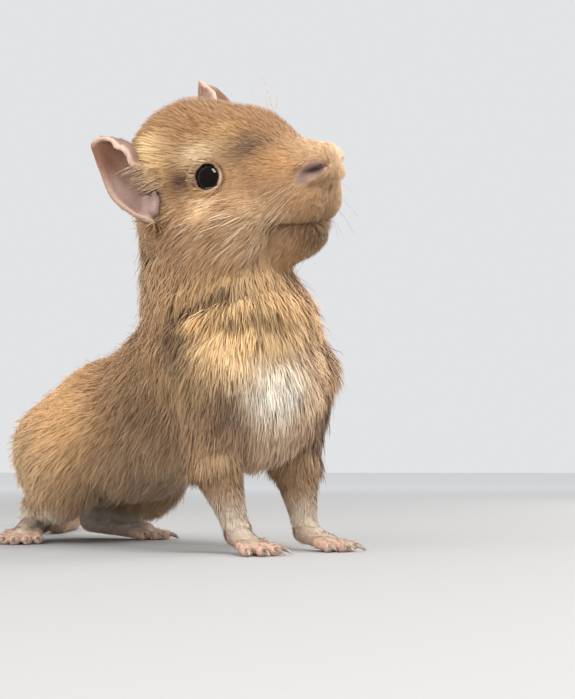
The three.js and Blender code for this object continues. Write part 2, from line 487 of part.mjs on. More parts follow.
// tail lengths: rings round the line, parted across it
function tailPiece(i0, i1) {
  const sides = 10, pos = [], tri = [];
  const rings = [];
  for (let i = i0; i <= i1; i += 1) rings.push(i);
  const use = rings.filter((r, k) => k === 0 || k === rings.length - 1 || k % 2 === 0);
  use.forEach((i) => {
    const a = V(tail[Math.max(0, i - 1)].p), b = V(tail[Math.min(tail.length - 1, i + 1)].p);
    const T = b.sub(a).normalize();
    const U = new THREE.Vector3(0, 0, 1).addScaledVector(T, -T.z).normalize();
    const W = new THREE.Vector3().crossVectors(T, U);
    const c = V(tail[i].p);
    if (i === i0) c.addScaledVector(T, H);
    if (i === i1 && i1 < tail.length - 1) c.addScaledVector(T, -H);
    for (let k = 0; k < sides; k++) {
      const q = rad((k + 0.5) * (360 / sides));
      const p = c.clone().addScaledVector(U, Math.cos(q) * tail[i].r).addScaledVector(W, Math.sin(q) * tail[i].r);
      pos.push(p.x, p.y, p.z);
    }
  });
  const n = use.length;
  for (let j = 0; j < n - 1; j++) for (let k = 0; k < sides; k++) {
    const a = j * sides + k, b = j * sides + ((k + 1) % sides), c = a + sides, d = b + sides;
    tri.push(a, c, b, b, c, d);
  }
  const last = tail[use[n - 1]].p, first = tail[use[0]].p;
  const mean = (j) => [0, 1, 2].map((a) => { let s = 0; for (let k = 0; k < sides; k++) s += pos[3 * (j * sides + k) + a]; return s / sides; });
  pos.push(...mean(0), ...mean(n - 1));
  for (let k = 0; k < sides; k++) {
    tri.push(n * sides, k, (k + 1) % sides);
    tri.push(n * sides + 1, (n - 1) * sides + ((k + 1) % sides), (n - 1) * sides + k);
  }
  const make = (t) => new wasm.Manifold(new wasm.Mesh({ numProp: 3, vertProperties: new Float32Array(pos), triVerts: new Uint32Array(t) }));
  let m = make(tri);
  if (m.volume() < 0) {
    for (let i = 0; i < tri.length; i += 3) [tri[i + 1], tri[i + 2]] = [tri[i + 2], tri[i + 1]];
    m = make(tri);
  }
  return m.intersect(floorUp);
}
const lastRing = tail.length - 1;
for (let k = 0; k < TAIL_NODES; k++) {
  const i0 = Math.round(cutAt + ((lastRing - cutAt) * k) / TAIL_NODES), i1 = Math.round(cutAt + ((lastRing - cutAt) * (k + 1)) / TAIL_NODES);
  pieces["tail_" + (k + 1)] = biggest(tailPiece(i0, i1));
}

// ---------------------------------------------------------------- materials
const coatSandy = new THREE.MeshStandardMaterial({ color: 0xbe9669, roughness: 0.85, metalness: 0 });
const coatGrey = new THREE.MeshStandardMaterial({ color: 0x9a7d61, roughness: 0.85, metalness: 0 });
const bareSkin = new THREE.MeshStandardMaterial({ color: 0xc9a695, roughness: 0.6, metalness: 0 });
const eyeBlack = new THREE.MeshStandardMaterial({ color: 0x120c0a, roughness: 0.08, metalness: 0 });
const materialOf = (name) => name.startsWith("eye") ? eyeBlack
  : /foot|ear_/.test(name) ? bareSkin
    : /loin|thigh/.test(name) ? coatGrey : coatSandy;

// ---------------------------------------------------------------- the group
const degu = new THREE.Group();
const box = new THREE.Box3();
for (const [name, solid] of Object.entries(pieces)) {
  const g = tidy(solid);
  g.computeVertexNormals();
  const mesh = new THREE.Mesh(g, materialOf(name));
  mesh.name = name;
  degu.add(mesh);
  box.expandByObject(mesh);
}
// origin under the middle of the bounding box, on the floor
degu.position.set(-(box.min.x + box.max.x) / 2, -(box.min.y + box.max.y) / 2, 0);

export default degu;
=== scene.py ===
import bpy, bmesh, math, time
import numpy as np
from mathutils import Vector, Matrix
from mathutils.kdtree import KDTree

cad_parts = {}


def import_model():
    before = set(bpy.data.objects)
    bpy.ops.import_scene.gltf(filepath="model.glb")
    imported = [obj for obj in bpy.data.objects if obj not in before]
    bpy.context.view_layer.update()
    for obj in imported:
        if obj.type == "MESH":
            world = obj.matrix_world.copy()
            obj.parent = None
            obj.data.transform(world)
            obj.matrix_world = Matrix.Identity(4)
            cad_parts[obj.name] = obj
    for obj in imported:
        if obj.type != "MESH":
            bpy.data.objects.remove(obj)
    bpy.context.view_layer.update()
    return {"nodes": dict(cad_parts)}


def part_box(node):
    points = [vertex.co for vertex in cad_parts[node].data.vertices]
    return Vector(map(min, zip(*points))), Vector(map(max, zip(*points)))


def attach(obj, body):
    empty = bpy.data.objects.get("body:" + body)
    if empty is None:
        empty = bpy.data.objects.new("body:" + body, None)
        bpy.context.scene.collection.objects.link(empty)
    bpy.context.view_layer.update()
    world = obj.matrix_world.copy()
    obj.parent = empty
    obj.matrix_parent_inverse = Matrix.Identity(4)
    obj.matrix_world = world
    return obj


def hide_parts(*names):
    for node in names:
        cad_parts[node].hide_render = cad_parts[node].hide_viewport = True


T0 = time.time()
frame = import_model()
RNG = np.random.default_rng(20240)


def say(*words):
    print("degu %.1fs" % (time.time() - T0), *words, flush=True)


# ------------------------------------------------------------------ the body, in mm
# Same named sizes as the construction; the last number is the depth of the coat
# that the skin lies inside. Local frame: floor at z = 0, under the chest.
A3 = lambda *v: np.array(v, float)
HEAD_AT = A3(4.6, -6.8, 91)
HEAD_YAW, HEAD_PITCH, HEAD_ROLL = 13.0, 4.5, 14.0


def rot(axis, deg):
    return np.array(Matrix.Rotation(math.radians(deg), 3, axis))


HEAD_R = rot("Z", HEAD_YAW) @ rot("Y", -HEAD_PITCH) @ rot("X", HEAD_ROLL)


def to_head(P):
    return (P - HEAD_AT) @ HEAD_R


def from_head(Q):
    return np.asarray(Q, float) @ HEAD_R.T + HEAD_AT


def unit(v):
    v = np.asarray(v, float)
    return v / (np.linalg.norm(v, axis=-1, keepdims=True) + 1e-12)


def ell(P, c, r):
    q = (P - np.asarray(c, float)) / np.asarray(r, float)
    k0 = np.sqrt((q * q).sum(1))
    q = q / np.asarray(r, float)
    k1 = np.sqrt((q * q).sum(1))
    return k0 * (k0 - 1) / np.maximum(k1, 1e-9)


def cone(P, a, b, ra, rb):
    a, b = np.asarray(a, float), np.asarray(b, float)
    d = b - a
    p = P - a
    t = np.clip(p @ d / (d @ d), 0, 1)
    q = p - t[:, None] * d
    return np.sqrt((q * q).sum(1)) - (ra + t * (rb - ra))


def smin(a, b, k):
    h = np.maximum(k - np.abs(a - b), 0) / k
    return np.minimum(a, b) - h * h * k / 4


def smax(a, b, k):
    return -smin(-a, -b, k)


def sstep(x, a, b):
    t = np.clip((x - a) / (b - a), 0, 1)
    return t * t * (3 - 2 * t)


# trunk and legs: name, kind, numbers, blend, coat depth, mirrored
BODY = [
    ("rump", ell, ([-64.5, 0, 27.5], [22.5, 21.8, 17.5]), 0, 3.4, False),
    ("loin", ell, ([-42.5, 0, 33.2], [27, 23.6, 20.5]), 9, 3.4, False),
    ("thorax", ell, ([-17, 0, 41.5], [25, 21.8, 22.2]), 9, 3.4, False),
    ("chest", ell, ([6.5, 0, 44], [19, 19, 23]), 9, 3.6, False),
    ("neck", cone, ([-2, -1, 56], [-2.5, -5.5, 80], 22.5, 19.5), 9, 3.8, False),
    ("ruff", ell, ([13.2, -5, 61], [12, 14, 13.5]), 8, 4.2, False),
    ("thigh", ell, ([-56.5, 14.6, 23], [17.5, 9.6, 15]), 4, 2.8, True),
    ("arm", cone, ([9, 13, 46], [8, 14, 25], 11, 7.2), 5, 2.8, True),
    ("forearm", cone, ([8, 13.5, 23], [14.5, 11.5, 5.2], 6.2, 3.2), 3, 1.1, True),
    ("shank", cone, ([-56, 16, 14], [-74, 11.5, 9.5], 6.4, 4.6), 3, 1.4, True),
]
HEAD = [
    ("cranium", ell, ([-6.8, 0, 6.6], [19.4, 17.8, 19]), 0, 2.0, False),
    ("forehead", ell, ([6, 0, 6.6], [17, 13.5, 14.2]), 5.5, 1.5, False),
    ("snout", cone, ([8, 0, 1.8], [24.8, 0, 0.8], 12.8, 8.4), 5.5, 1.0, False),
    ("cheek", ell, ([3, 9.5, -8], [15.5, 10, 11]), 5.5, 2.2, True),
    ("lip", ell, ([22, 4, -5.6], [8.4, 6.2, 7.2]), 4, 0.9, True),
    ("chin", ell, ([17, 0, -13.2], [10, 8, 7.4]), 4, 1.5, False),
]
EYE_C, EYE_R = A3(4.6, 12.0, 3.7), 4.3
SOCKET_C, SOCKET_R = A3(4.8, 17.2, 3.9), 4.9
NOSE_C = A3(31.4, 0, 1.6)
EARS = {
    "right": dict(base=[-9.6, -12.6, 1.6], tip=[-0.435, -0.496, 0.752], face=[0.76, -0.64, -0.12], height=22.6, roll=1,
                  plus=[(0, 3.2), (0.2, 2.8), (0.36, 2.2), (0.5, 3.6), (0.6, 6.0), (0.7, 7.1), (0.8, 6.7), (0.9, 3.9), (1, 0.9)],
                  minus=[(0, 8.0), (0.2, 9.0), (0.4, 9.0), (0.5, 8.6), (0.6, 7.3), (0.7, 5.6), (0.8, 4.2), (0.9, 2.7), (1, 1.0)]),
    "left": dict(base=[-9.5, 11.0, 9.0], tip=[-0.075, 0.330, 0.941], face=[0.9, -0.1, 0.1], height=22.9, roll=-1,
                 plus=[(0, 7.2), (0.2, 8.2), (0.4, 8.2), (0.6, 7.6), (0.8, 6.6), (0.92, 5.2), (1, 3.2)],
                 minus=[(0, 5.0), (0.2, 5.5), (0.4, 6.5), (0.6, 7.6), (0.8, 6.8), (0.92, 5.2), (1, 3.2)]),
}
FORE = dict(at=[14.5, 11.5], heading=8, palm=7.5, toe=6.2, toeR=1.35, fan=14, toes=4)
HIND = dict(length=26, toe=7.4, toeR=1.45, fan=9, toes=5)
HIND_AT = {"right": ([-76, -10], 47), "left": ([-78, 11], 20)}
CLAW = 3.2
TAIL = dict(start=[-83, 0.5, 18.5], length=118, r0=6.4, r1=3.1, tuft=4.4, lay=36)


def foot_cones(at, heading, side, f, hind):
    out = []
    dirv = lambda deg: np.array([math.cos(math.radians(side * deg)), math.sin(math.radians(side * deg))])
    d = dirv(heading)
    ln = f["length"] - f["toe"] if hind else f["palm"]
    at = np.array(at, float)
    ball = at + d * ln
    out.append(dict(a=[at[0], at[1], 5.6 if hind else 4.6], b=[ball[0], ball[1], 2.35 if hind else 2.0],
                    ra=4.2 if hind else 3.1, rb=2.9 if hind else 2.5, k=2.5, toe=False, dir=d))
    mid = (f["toes"] - 1) / 2
    n = np.array([-d[1] * side, d[0] * side])
    for i in range(f["toes"]):
        off = i - mid
        t = dirv(heading + off * f["fan"])
        root = ball + n * off * 1.9 - d * abs(off) * 0.9
        L = f["toe"] * (1 - 0.09 * off * off)
        tip = root + t * L
        out.append(dict(a=[root[0], root[1], 2.1], b=[tip[0], tip[1], f["toeR"] * 0.86],
                        ra=f["toeR"] * 1.15, rb=f["toeR"], k=1.1, toe=True, dir=t, tip=tip, L=L))
    return out


FEET = {
    "forefoot_left": foot_cones(FORE["at"], FORE["heading"], 1, FORE, False),
    "forefoot_right": foot_cones([FORE["at"][0], -FORE["at"][1]], FORE["heading"], -1, FORE, False),
    "hindfoot_left": foot_cones(*HIND_AT["left"], 1, HIND, True),
    "hindfoot_right": foot_cones(*HIND_AT["right"], -1, HIND, True),
}


def tail_path():
    pts, rad, x, y, ds = [], [], TAIL["start"][0], TAIL["start"][1], 2.0
    n = int(TAIL["length"] / ds)
    for i in range(n + 1):
        s = i * ds
        u = s / TAIL["length"]
        h = math.radians(180 - (24 + 26 * math.sin(math.pi * min(1, u * 1.25)) - 14 * u))
        if u < 0.72:
            r = TAIL["r0"] + (TAIL["r1"] - TAIL["r0"]) * (u / 0.72) ** 0.6
        else:
            r = TAIL["r1"] + (TAIL["tuft"] - TAIL["r1"]) * math.sin(math.pi * (u - 0.72) / 0.28) * 0.9 - 1.1 * max(0, (u - 0.9) / 0.1)
        t = min(1, s / TAIL["lay"])
        drop = t * t * (3 - 2 * t)
        pts.append([x, y, TAIL["start"][2] * (1 - drop) + (r - 0.35) * drop])
        rad.append(r)
        x += ds * math.cos(h)
        y += ds * math.sin(h)
    return np.array(pts), np.array(rad)


TAIL_P, TAIL_R = tail_path()
u_ = np.linspace(0, 1, len(TAIL_P))
TAIL_SKIN = np.clip(TAIL_R - 1.6, 0, 9) * np.interp(u_, [0, 0.1, 0.7, 1], [1.0, 1.0, 1.0, 0.4])
TAIL_SKIN = np.maximum(np.minimum(TAIL_SKIN, np.interp(u_, [0, 0.7, 1], [9, 1.9, 0.9])), 0.8)


def tail_distance(P, rad):
    d = np.full(len(P), 1e3)
    for i in range(0, len(TAIL_P) - 1):
        d = np.minimum(d, cone(P, TAIL_P[i], TAIL_P[i + 1], rad[i], rad[i + 1]))
    return d


# ------------------------------------------------------------------ ears
def ear_frame(e):
    B = np.array(e["base"], float)
    T = unit(e["tip"])
    N = np.array(e["face"], float)
    N = unit(N - (N @ T) * T)
    S = np.cross(T, N)
    return B, T, N, unit(S)


def ear_point(e, v, u):
    """Middle surface of the ear, head frame; v from the base to the tip, u across."""
    B, T, N, S = ear_frame(e)
    v, u = np.asarray(v, float), np.asarray(u, float)
    fine = np.linspace(0, 1, 41)
    smooth = lambda tab: np.convolve(np.pad(np.interp(fine, *zip(*tab)), 3, mode="reflect", reflect_type="odd"), np.ones(7) / 7, "valid")
    w = np.where(u > 0, np.interp(v, fine, smooth(e["plus"])), np.interp(v, fine, smooth(e["minus"])))
    op = np.radians(100 - 56 * v)
    R = w / np.sin(np.minimum(op, math.pi / 2))
    a = u * op
    t = np.clip((u * e["roll"] - 0.5) / 0.5, 0, 1) * sstep(v, 0.3, 0.6) * np.clip((1 - v) * 5, 0, 1)
    across = R * np.sin(a) - e["roll"] * 4.4 * t ** 1.7
    back = R * (1 - np.cos(a)) * 0.75 - 1.5 * v * v + 1.7 * np.sin(t * math.pi / 2)
    # the folds inside the cup and the turned-out margin
    q = u * e["roll"]
    back = back + 0.6 * np.exp(-((q + 0.45) / 0.14) ** 2) * np.clip(1.1 - v, 0, 1) * np.clip(v * 5, 0, 1)
    back = back + 0.5 * np.exp(-((q - 0.1 - 0.3 * v) / 0.13) ** 2) * np.clip(0.95 - v, 0, 1) * np.clip(v * 5, 0, 1)
    back = back - 0.45 * np.clip((-q - 0.86) / 0.14, 0, 1) ** 2 + 0.12 * np.sin(9 * v + 5 * q)
    return B + T * (e["height"] * v)[..., None] + S * across[..., None] + N * back[..., None]


def ear_lobes(e):
    """Canal and the two lobes at the mouth of the ear: start, end, radii (head frame)."""
    B, T, N, S = ear_frame(e)
    at = lambda t, a, n: B + T * t + S * (e["roll"] * a) + N * n
    return dict(low=(at(4.3, -4.0, 2.8), at(1.9, -7.3, 4.6), 1.3, 1.9), front=(at(3.2, -1.3, 3.6), at(1.4, -5.6, 5.4), 1.1, 1.5),
                canal=(at(3.6, 0.9, 6.4), at(1.6, -0.6, 0.4), 1.25, 0.9))


def in_ear_mouth(Q, e):
    """Whether points (head frame) lie over the open mouth of the ear."""
    B, T, N, S = ear_frame(e)
    r = Q - B
    t, a, n = r @ T, (r @ S) * e["roll"], r @ N
    edge = np.interp(a, [-9.5, -5.5, -1.7, -0.1, 1.3], [0.4, -0.1, 1.2, 3.3, 11.7])
    return (t > edge + 0.2) & (t < 11.6) & (a > -9.5) & (a < 1.3) & (n > -1.5) & (n < 10)


def ear_samples(e):
    nv, nu = 72, 80
    v, u = np.meshgrid(np.linspace(0, 1, nv) ** 0.85, np.linspace(-1, 1, nu), indexing="ij")
    P = ear_point(e, v, u)
    du = np.gradient(P, axis=1)
    dv = np.gradient(P, axis=0)
    n = unit(np.cross(du, dv))
    N = ear_frame(e)[2]
    flipped = (n @ N) < 0
    n = np.where(flipped[..., None], -n, n)
    bad = ~np.isfinite(n).all(-1)
    n[bad] = N
    edge = np.minimum(1 - np.abs(u), (1 - v) * 2)
    thick = 0.50 + 0.14 * (1 - v)
    return P.reshape(-1, 3), n.reshape(-1, 3), thick.ravel(), v.ravel(), u.ravel()


EAR_DATA = {}
for name_, e_ in EARS.items():
    P_, n_, th_, v_, u2_ = ear_samples(e_)
    tree = KDTree(len(P_))
    for i_, p_ in enumerate(P_):
        tree.insert(p_, i_)
    tree.balance()
    EAR_DATA[name_] = dict(P=P_, n=n_, th=th_, v=v_, u=u2_, tree=tree, lo=P_.min(0) - 6.5, hi=P_.max(0) + 6.5)


def ear_distance(Q, name):
    """Distance to the ear's thin shell for points Q in the head frame (far ones get 50)."""
    E = EAR_DATA[name]
    d = np.full(len(Q), 50.0)
    near = np.all((Q > E["lo"]) & (Q < E["hi"]), 1)
    idx = np.nonzero(near)[0]
    if not len(idx):
        return d
    find = E["tree"].find
    j = np.array([find(q)[1] for q in Q[idx]])
    delta = Q[idx] - E["P"][j]
    perp = (delta * E["n"][j]).sum(1)
    tang = np.linalg.norm(delta - perp[:, None] * E["n"][j], axis=1)
    d[idx] = np.hypot(perp, np.maximum(tang - 0.22, 0)) - E["th"][j]
    return d


# ------------------------------------------------------------------ the skin as a distance
def eye_out(side):
    return unit(A3(0.30, side * 0.93, 0.17))


def body_parts(P):
    out = []
    Pm = P.copy()
    Pm[:, 1] = np.abs(Pm[:, 1])
    for name, f, args, k, depth, mirrored in BODY:
        out.append(f(Pm if mirrored else P, *args) + depth)
    return out


def head_parts(Q):
    Qm = Q.copy()
    Qm[:, 1] = np.abs(Qm[:, 1])
    return [f(Qm if m else Q, *args) + depth for name, f, args, k, depth, m in HEAD]


FOLD = np.array([[2, -19.5, 59.5], [10.6, -16.7, 60.9], [16, -14.9, 63.3], [19.6, -12.2, 64.6], [21.6, -6.8, 66.4], [22.6, 0, 67.0], [20.6, 7, 66]], float)


FOLD2 = np.array([[15.5, -15.5, 57], [19.5, -12.2, 58.5], [22.5, -6.5, 58.2], [24.4, -0.5, 56], [24, 5, 53]], float)


def fold_distance(P, line=FOLD):
    return np.min([cone(P, line[i], line[i + 1], 0, 0) for i in range(len(line) - 1)], 0)


def skin_distance(P, detail=True):
    d = None
    for (name, f, args, k, depth, m), v in zip(BODY, body_parts(P)):
        d = v if d is None else smin(d, v, k)
    rear = P[:, 0] < -62
    if rear.any():
        t = tail_distance(P[rear], TAIL_SKIN)
        base = cone(P[rear], TAIL_P[0], TAIL_P[6], TAIL_R[0] - 2.0, TAIL_SKIN[6])
        d[rear] = smin(d[rear], smin(t, base, 1.5), 5)
    for cones in FEET.values():
        c0 = np.array(cones[0]["a"])
        near = (np.abs(P[:, 0] - c0[0]) < 40) & (np.abs(P[:, 1] - c0[1]) < 40) & (P[:, 2] < 14)
        if not near.any():
            continue
        q = P[near]
        f = d[near]
        for c in cones:
            ins = 0.25 if c["toe"] else 0.4
            v = cone(q, c["a"], c["b"], c["ra"] - ins, c["rb"] - ins)
            if c["toe"] and detail:  # knuckles and pads
                a, b = np.array(c["a"]), np.array(c["b"])
                L = np.linalg.norm(b - a)
                s = np.clip((q - a) @ (b - a) / L / L, 0, 1.3)
                v = v - 0.16 * np.cos(s * 4 * math.pi) * (s < 1) - 0.1 * np.exp(-((s - 0.95) / 0.15) ** 2)
            f = smin(f, v, c["k"])
        d[near] = f
    if detail:
        near = (P[:, 0] > -4) & (P[:, 2] > 48) & (P[:, 2] < 74)
        if near.any():
            d[near] += 1.3 * np.exp(-(fold_distance(P[near]) / 1.5) ** 2) + 0.7 * np.exp(-(fold_distance(P[near], FOLD2) / 1.3) ** 2)
    up = P[:, 2] > 58
    if up.any():
        Q = to_head(P[up])
        h = None
        for (name, f, args, k, depth, m), v in zip(HEAD, head_parts(Q)):
            h = v if h is None else smin(h, v, k)
        Qm = Q.copy()
        Qm[:, 1] = np.abs(Qm[:, 1])
        h = smax(h, SOCKET_R - 0.6 - np.linalg.norm(Qm - SOCKET_C, axis=1), 2.5)
        f = smin(d[up], h, 9)
        if detail:
            # end of the nose, nostrils with their flaps, philtrum, mouth
            f = smin(f, ell(Qm, NOSE_C, [2.0, 5.2, 4.6]), 2.0)
            f = smin(f, cone(Qm, [31.8, 3.2, 3.2], [28.2, 6.9, 1.9], 1.0, 0.7), 1.4)
            slit = smin(cone(Qm, [33.0, 2.8, 1.5], [30.0, 6.4, 0.4], 0.62, 0.5), cone(Qm, [30.0, 6.4, 0.4], [27.4, 8.2, -1.7], 0.45, 0.2), 0.4)
            f = smax(f, -slit, 0.5)
            f = smin(f, cone(Qm, [31.8, 3.4, -0.7], [29.0, 6.6, -1.8], 0.9, 0.6), 1.2)
            f = f + 0.55 * np.exp(-(Q[:, 1] / 0.45) ** 2) * sstep(Q[:, 0], 29, 31) * sstep(-Q[:, 2], -3.0, -1.0) * (Q[:, 2] > -11)
            f = f + 0.9 * np.exp(-((Q[:, 2] + 10.6 + 0.10 * (Q[:, 0] - 20)) / 0.7) ** 2) * sstep(Q[:, 0], 14.5, 19)
            # eyelids round the eyeball
            n = eye_out(1)
            c = EYE_C
            rel = Qm - c
            ax = rel @ n
            tang = rel - ax[:, None] * n
            t1 = unit(np.cross(n, [0, 0, 1.0]))
            t2 = np.cross(t1, n)
            ex, ez = tang @ t1, tang @ t2
            front = -t1 @ A3(1, 0, 0)
            rr = np.hypot(ex / 0.93, ez / 1.08)
            low = (ex - ez) / np.maximum(np.hypot(ex, ez), 0.3) / 1.42
            corner = 0.45 * np.exp(-((np.arctan2(ez, -ex) - 0.35) / 0.45) ** 2)
            cap = smax(np.linalg.norm(rel, axis=1) - (EYE_R + 0.62), smax(3.42 - rr, 0.4 - ax, 0.5), 0.5)
            f = smin(f, cap, 0.8)
            ring = np.hypot(rr - 3.34 - corner, (ax - 2.95) * 0.85) - (0.42 + 0.10 * low)
            f = smin(f, ring, 0.7)
            crease = np.hypot(rr - 4.5 - corner, ax - 2.75) - 0.2
            f = smax(f, -crease, 0.6)
            ball = np.linalg.norm(rel, axis=1) - (EYE_R + 0.02)
            f = smax(f, -ball, 0.12)
            # faint wrinkles behind the nostril
            side = np.exp(-((Qm[:, 0] - 26.2) / 2.6) ** 2 - ((Qm[:, 2] - 0.4) / 3.0) ** 2) * (np.abs(f) < 2)
            f = f + 0.13 * side * np.sin(Qm[:, 2] * 4.2 - Qm[:, 0] * 1.7)
        for name, e in EARS.items():
            B, T, N, S = ear_frame(e)
            ed = ear_distance(Q, name)
            f = smin(f, ed, 2.0)
            if detail:
                # the ear canal and the two lobes at the mouth of the ear
                lobes = ear_lobes(e)
                f = smin(f, cone(Q, *lobes["low"]), 0.9)
                f = smin(f, cone(Q, *lobes["front"]), 0.7)
                at = lambda t, a, n: B + T * t + S * (e["roll"] * a) + N * n
                f = smax(f, -cone(Q, at(3.6, -1.2, 6.8), at(9.6, -0.6, 5.2), 2.3, 1.7), 1.0)
                f = smax(f, -cone(Q, *lobes["canal"]), 0.7)
        d[up] = f
    return np.maximum(d, 0.02 - P[:, 2])


# ------------------------------------------------------------------ polygonise, sparse
def polygonise(fun, lo, hi, h, block=8):
    n = [int(math.ceil((hi[i] - lo[i]) / h / block)) * block for i in range(3)]
    B = h * block
    nb = [k // block for k in n]
    gx = [lo[i] + (np.arange(nb[i]) + 0.5) * B for i in range(3)]
    C = np.stack(np.meshgrid(*gx, indexing="ij"), -1).reshape(-1, 3)
    dc = fun(C, False)
    live = np.abs(dc) < B * 0.95 + 1.2
    G = np.repeat(np.repeat(np.repeat(np.sign(dc).reshape(nb).astype(np.float32) * 9, block, 0), block, 1), block, 2)
    G = np.pad(G, ((0, 1),) * 3, mode="edge")
    off = np.stack(np.meshgrid(*[np.arange(block)] * 3, indexing="ij"), -1).reshape(-1, 3)
    cells = np.argwhere(live.reshape(nb))
    say("blocks", len(cells), "of", len(dc))
    for s in range(0, len(cells), 600):
        I = (cells[s:s + 600, None, :] * block + off[None]).reshape(-1, 3)
        G[I[:, 0], I[:, 1], I[:, 2]] = fun(lo + I * h, True)
    inside = G < 0
    c = np.zeros([k - 1 for k in G.shape], np.int8)
    for a in (0, 1):
        for b in (0, 1):
            for e in (0, 1):
                c += inside[a:a + c.shape[0], b:b + c.shape[1], e:e + c.shape[2]]
    act = np.argwhere((c > 0) & (c < 8))
    idx = np.full(c.shape, -1, np.int32)
    idx[act[:, 0], act[:, 1], act[:, 2]] = np.arange(len(act))
    acc = np.zeros((len(act), 3))
    cnt = np.zeros(len(act))
    for axis in range(3):
        b1, b2 = (axis + 1) % 3, (axis + 2) % 3
        for u in (0, 1):
            for v in (0, 1):
                a = act.copy()
                a[:, b1] += u
                a[:, b2] += v
                b = a.copy()
                b[:, axis] += 1
                ga = G[a[:, 0], a[:, 1], a[:, 2]].astype(float)
                gb = G[b[:, 0], b[:, 1], b[:, 2]].astype(float)
                m = (ga < 0) != (gb < 0)
                t = ga[m] / (ga[m] - gb[m])
                q = a[m].astype(float)
                q[:, axis] += t
                acc[m] += q
                cnt[m] += 1
    V = np.asarray(lo) + acc / cnt[:, None] * h
    quads = []
    for axis in range(3):
        b1, b2 = (axis + 1) % 3, (axis + 2) % 3
        sl = [slice(1, -1)] * 3
        sl2 = [slice(1, -1)] * 3
        sl2[axis] = slice(2, None)
        A_, B_ = inside[tuple(sl)], inside[tuple(sl2)]
        e = np.argwhere(A_ != B_) + 1
        neg = inside[e[:, 0], e[:, 1], e[:, 2]]
        q = []
        for du, dv in ((0, 0), (1, 0), (1, 1), (0, 1)):
            w = e.copy()
            w[:, b1] -= du
            w[:, b2] -= dv
            ok = (w[:, axis] < idx.shape[axis])
            w[:, axis] = np.minimum(w[:, axis], idx.shape[axis] - 1)
            q.append(idx[w[:, 0], w[:, 1], w[:, 2]])
        q = np.stack(q, 1)
        q[~neg] = q[~neg][:, ::-1]
        quads.append(q)
    F = np.concatenate(quads)
    F = F[(F >= 0).all(1)]
    return V, F


def gradient(fun, P, e=0.08):
    g = np.empty_like(P)
    for i in range(3):
        o = np.zeros(3)
        o[i] = e
        g[:, i] = (fun(P + o) - fun(P - o)) / (2 * e)
    return g


STEP = 0.64
LO, HI = A3(-188, -46, -1.0), A3(42, 66, 129.5)
V, F = polygonise(skin_distance, LO, HI, STEP)
say("nets", len(V), len(F))
for it in range(2):
    d = skin_distance(V)
    g = gradient(skin_distance, V)
    gg = np.maximum((g * g).sum(1), 0.3)
    move = -(d / gg)[:, None] * g
    ln = np.linalg.norm(move, axis=1)
    move *= np.minimum(1, 0.35 / np.maximum(ln, 1e-9))[:, None]
    V = V + move
say("projected")

# ------------------------------------------------------------------ row frame
eye_lo, eye_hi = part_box("eye_right")
SHIFT = np.array((eye_lo + eye_hi) / 2) * 1000 - from_head(A3(EYE_C[0], -EYE_C[1], EYE_C[2]))


def world(P):
    return (np.asarray(P) + SHIFT) / 1000.0


def mesh_object(name, verts, faces, smooth=True):
    me = bpy.data.meshes.new(name)
    verts = np.asarray(verts, np.float32)
    faces = np.asarray(faces, np.int32)
    k = faces.shape[1]
    me.vertices.add(len(verts))
    me.vertices.foreach_set("co", verts.ravel())
    me.loops.add(faces.size)
    me.loops.foreach_set("vertex_index", faces.ravel())
    me.polygons.add(len(faces))
    me.polygons.foreach_set("loop_start", np.arange(0, faces.size, k, dtype=np.int32))
    me.polygons.foreach_set("loop_total", np.full(len(faces), k, np.int32))
    me.polygons.foreach_set("use_smooth", np.full(len(faces), smooth))
    me.update(calc_edges=True)
    ob = bpy.data.objects.new(name, me)
    bpy.context.scene.collection.objects.link(ob)
    return ob


def color_layer(me, name, rgb):
    at = me.attributes.new(name, "FLOAT_COLOR", "POINT")
    rgba = np.ones((len(me.vertices), 4), np.float32)
    rgba[:, :3] = rgb
    at.data.foreach_set("color", rgba.ravel())


def lin(r, g, b):
    c = np.array([r, g, b], float) / 255
    return np.where(c <= 0.04045, c / 12.92, ((c + 0.055) / 1.055) ** 2.4)


# ------------------------------------------------------------------ markings, with painted light and shade
def noise3(P, scale, seed=0):
    """Smooth, repeatable noise in -1..1 from a few sines."""
    r = np.random.default_rng(seed)
    out = np.zeros(len(P))
    for o in range(5):
        k = r.normal(size=3)
        k *= (1.0 + 0.55 * o) / np.linalg.norm(k) * 2 * math.pi / scale
        out += np.sin(P @ k + r.uniform(0, 6.28)) / (1 + 0.35 * o)
    return out / 3.0


def bump(x, c, w):
    return np.exp(-((x - c) / w) ** 2)


def spot(Q, c, r):
    q = (Q - np.asarray(c, float)) / np.asarray(r, float)
    return np.exp(-(q * q).sum(1))


def mix(c, col, w):
    w = np.clip(w, 0, 1)[:, None]
    return c * (1 - w) + np.asarray(col) * w


TAN = lin(196, 154, 110)
ORANGE = lin(200, 152, 102)
GOLD = lin(212, 174, 124)
CREAM = lin(240, 208, 160)
WHITE = lin(236, 224, 206)
GREYBR = lin(128, 102, 80)
MAUVE = lin(146, 118, 98)
BROWN = lin(112, 82, 60)
PINK = lin(206, 164, 148)
PEACH = lin(232, 198, 158)
EARSKIN = lin(154, 124, 110)
NOSEC = lin(148, 118, 104)


